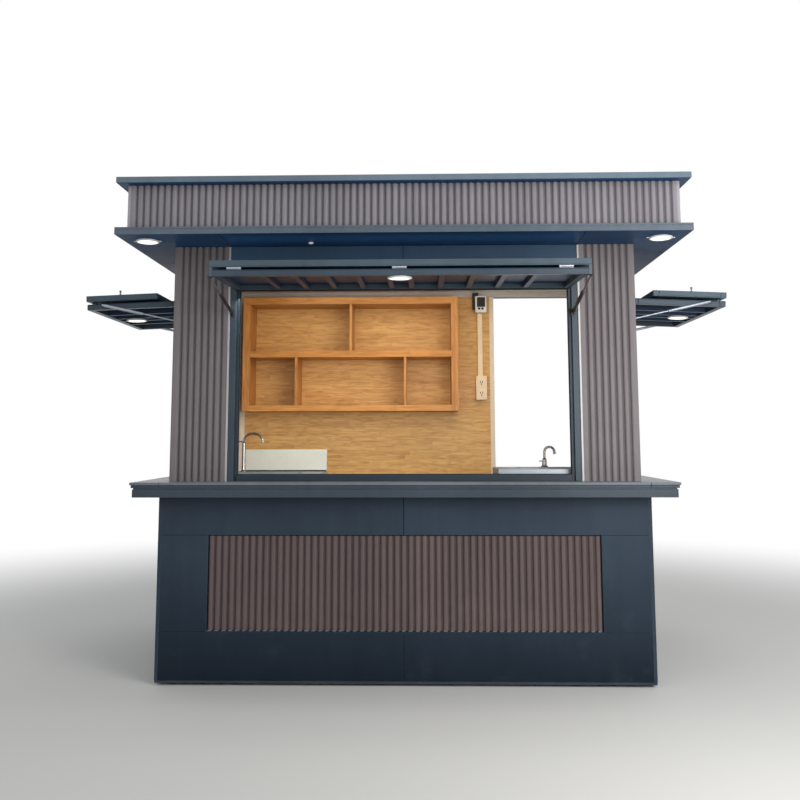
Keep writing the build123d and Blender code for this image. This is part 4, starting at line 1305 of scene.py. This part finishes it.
RIB_STEP = 30
back_inner = BACK_Y - BASE_DEPTH
gx, gy, (floor_bottom, floor_top) = span("floor")
tread = Shape()
tread.prism([
    (gx[0], gy[0]), (gx[1], gy[0]), (gx[1], back_inner), (DOOR_RIGHT, back_inner), (DOOR_RIGHT, gy[1]),
    (DOOR_LEFT, gy[1]), (DOOR_LEFT, back_inner), (gx[0], back_inner),
], (floor_bottom, floor_top - 2))
for rib in range(int((gx[1] - gx[0] - 40) // RIB_STEP)):
    left = gx[0] + 24 + RIB_STEP * rib
    far = gy[1] - 8 if DOOR_LEFT + 4 < left and left + 8 < DOOR_RIGHT - 4 else back_inner - 6
    foot = floor_top - 2.2
    outline = [(left, foot), (left + 1.6, floor_top), (left + 6.4, floor_top), (left + 8, foot)]
    tread.prism(outline, (gy[0] + 6, far), lying)
add_piece("tread_floor", tread, TREAD, ["floor"])

TUBE = 60
kx, ky, kz = span("skid_frame")
skid = Shape()
for ys in ((ky[0], ky[0] + TUBE), (back_inner - TUBE, back_inner)):
    skid.block(kx, ys, kz)
bay = (kx[1] - kx[0] - TUBE * 5) / 4
for cross in range(5):
    left = kx[0] + cross * (bay + TUBE)
    skid.block((left, left + TUBE), inset((ky[0] + TUBE, back_inner - TUBE), 0.5), kz)
skid.block((DOOR_LEFT, DOOR_RIGHT), (back_inner + 0.5, BACK_Y), kz)
add_piece("skid_tubes", skid, SKID, ["skid_frame"], 3.0, 3)


# Stage, light and camera

def make_stage():
    """A pale floor that fades into the background, lit like it."""
    mesh = bpy.data.meshes.new("stage_floor")
    ground = (-30.0, 30.0)
    mesh.from_pydata([(x, y, 0) for x, y in corners(ground, ground)], [], [(0, 1, 2, 3)])
    floor = bpy.data.objects.new("stage_floor", mesh)
    scene.collection.objects.link(floor)
    g = Graph("stage_floor")
    x, y, _ = g.axes()
    radius = g.math("SQRT", g.add(g.times(x, x), g.times(y, y)))
    values = {"Value": radius, "From Min": 2.6, "From Max": 6.5}
    fade = g.node("MapRange", values, interpolation_type="SMOOTHSTEP")
    g.finish((0.60, 0.59, 0.565, 1.0), 0.9)
    glow = g.node("Emission", {"Color": (1.0, 1.0, 1.0, 1.0), "Strength": 1.0})
    g.blend(g.times(fade, g.seen()), g.shader.outputs[0], glow, "Material Output")
    mesh.materials.append(g.material)


def make_world():
    """Soft sky light on the object, before a white background."""
    world = bpy.data.worlds.new("studio")
    scene.world = world
    world.use_nodes = True
    g = Nodes(world.node_tree)
    light = g.tree.nodes["Background"]
    light.inputs["Color"].default_value = (0.93, 0.97, 1.0, 1.0)
    light.inputs["Strength"].default_value = 0.72
    white = g.node("Background", {"Color": (1.0, 1.0, 1.0, 1.0), "Strength": 1.0})
    g.blend(g.seen(), light.outputs[0], white, "World Output")


def area_light(name, place, target, size, energy, colour, hidden=False):
    """A rectangular lamp. A hidden one lights the object but isn't seen, nor mirrored."""
    light = bpy.data.lights.new(name, "AREA")
    light.shape = "RECTANGLE"
    light.size, light.size_y = size
    light.energy = energy
    light.color = colour
    holder = bpy.data.objects.new(name, light)
    scene.collection.objects.link(holder)
    holder.location = place
    holder.rotation_mode = "QUATERNION"
    holder.rotation_quaternion = (Vector(target) - Vector(place)).to_track_quat("-Z", "Y")
    if hidden:
        holder.visible_camera = False
        holder.visible_glossy = False


def make_camera():
    lens = bpy.data.cameras.new("camera")
    holder = bpy.data.objects.new("camera", lens)
    scene.collection.objects.link(holder)
    lens.sensor_width = 36
    lens.lens = 39.74
    lens.shift_y = -0.0821
    yaw, pitch, roll = 0.025, 0.116, -0.002
    turn = Matrix.Rotation(yaw, 4, "Z") @ Matrix.Rotation(math.pi / 2 + pitch, 4, "X")
    turn = turn @ Matrix.Rotation(roll, 4, "Z")
    holder.matrix_world = Matrix.Translation((0.0946, -5.193, 1.2005)) @ turn
    lens.clip_start, lens.clip_end = 0.05, 200
    scene.camera = holder


make_stage()
make_world()
area_light("key", (3.8, -4.6, 3.6), (0, -0.4, 1.3), (4.0, 3.0), 92, (1.0, 0.98, 0.95))
area_light("near_right", (1.8, -3.2, 1.6), (1.2, -0.7, 1.1), (1.4, 1.4), 44, (1.0, 0.99, 0.98))
area_light("inside_ceiling", (0.1, 0.0, 2.12), (0.1, 0.25, 1.0), (1.8, 0.5), 8.0, (1.0, 0.94, 0.86), True)
area_light("inside_low", (-0.15, -0.24, 1.20), (-0.15, 0.68, 1.15), (1.8, 0.5), 3.4, (1.0, 0.96, 0.90), True)
area_light("under_soffit", (0.0, -0.93, 2.09), (0.0, -0.90, 2.18), (1.7, 0.12), 0.45, (0.92, 0.96, 1.0), True)
area_light("window_fill", (-0.2, -0.66, 1.88), (-0.3, -0.1, 1.1), (1.3, 0.12), 4.2, (1.0, 0.98, 0.95), True)
scene.view_settings.view_transform = "Standard"
make_camera()
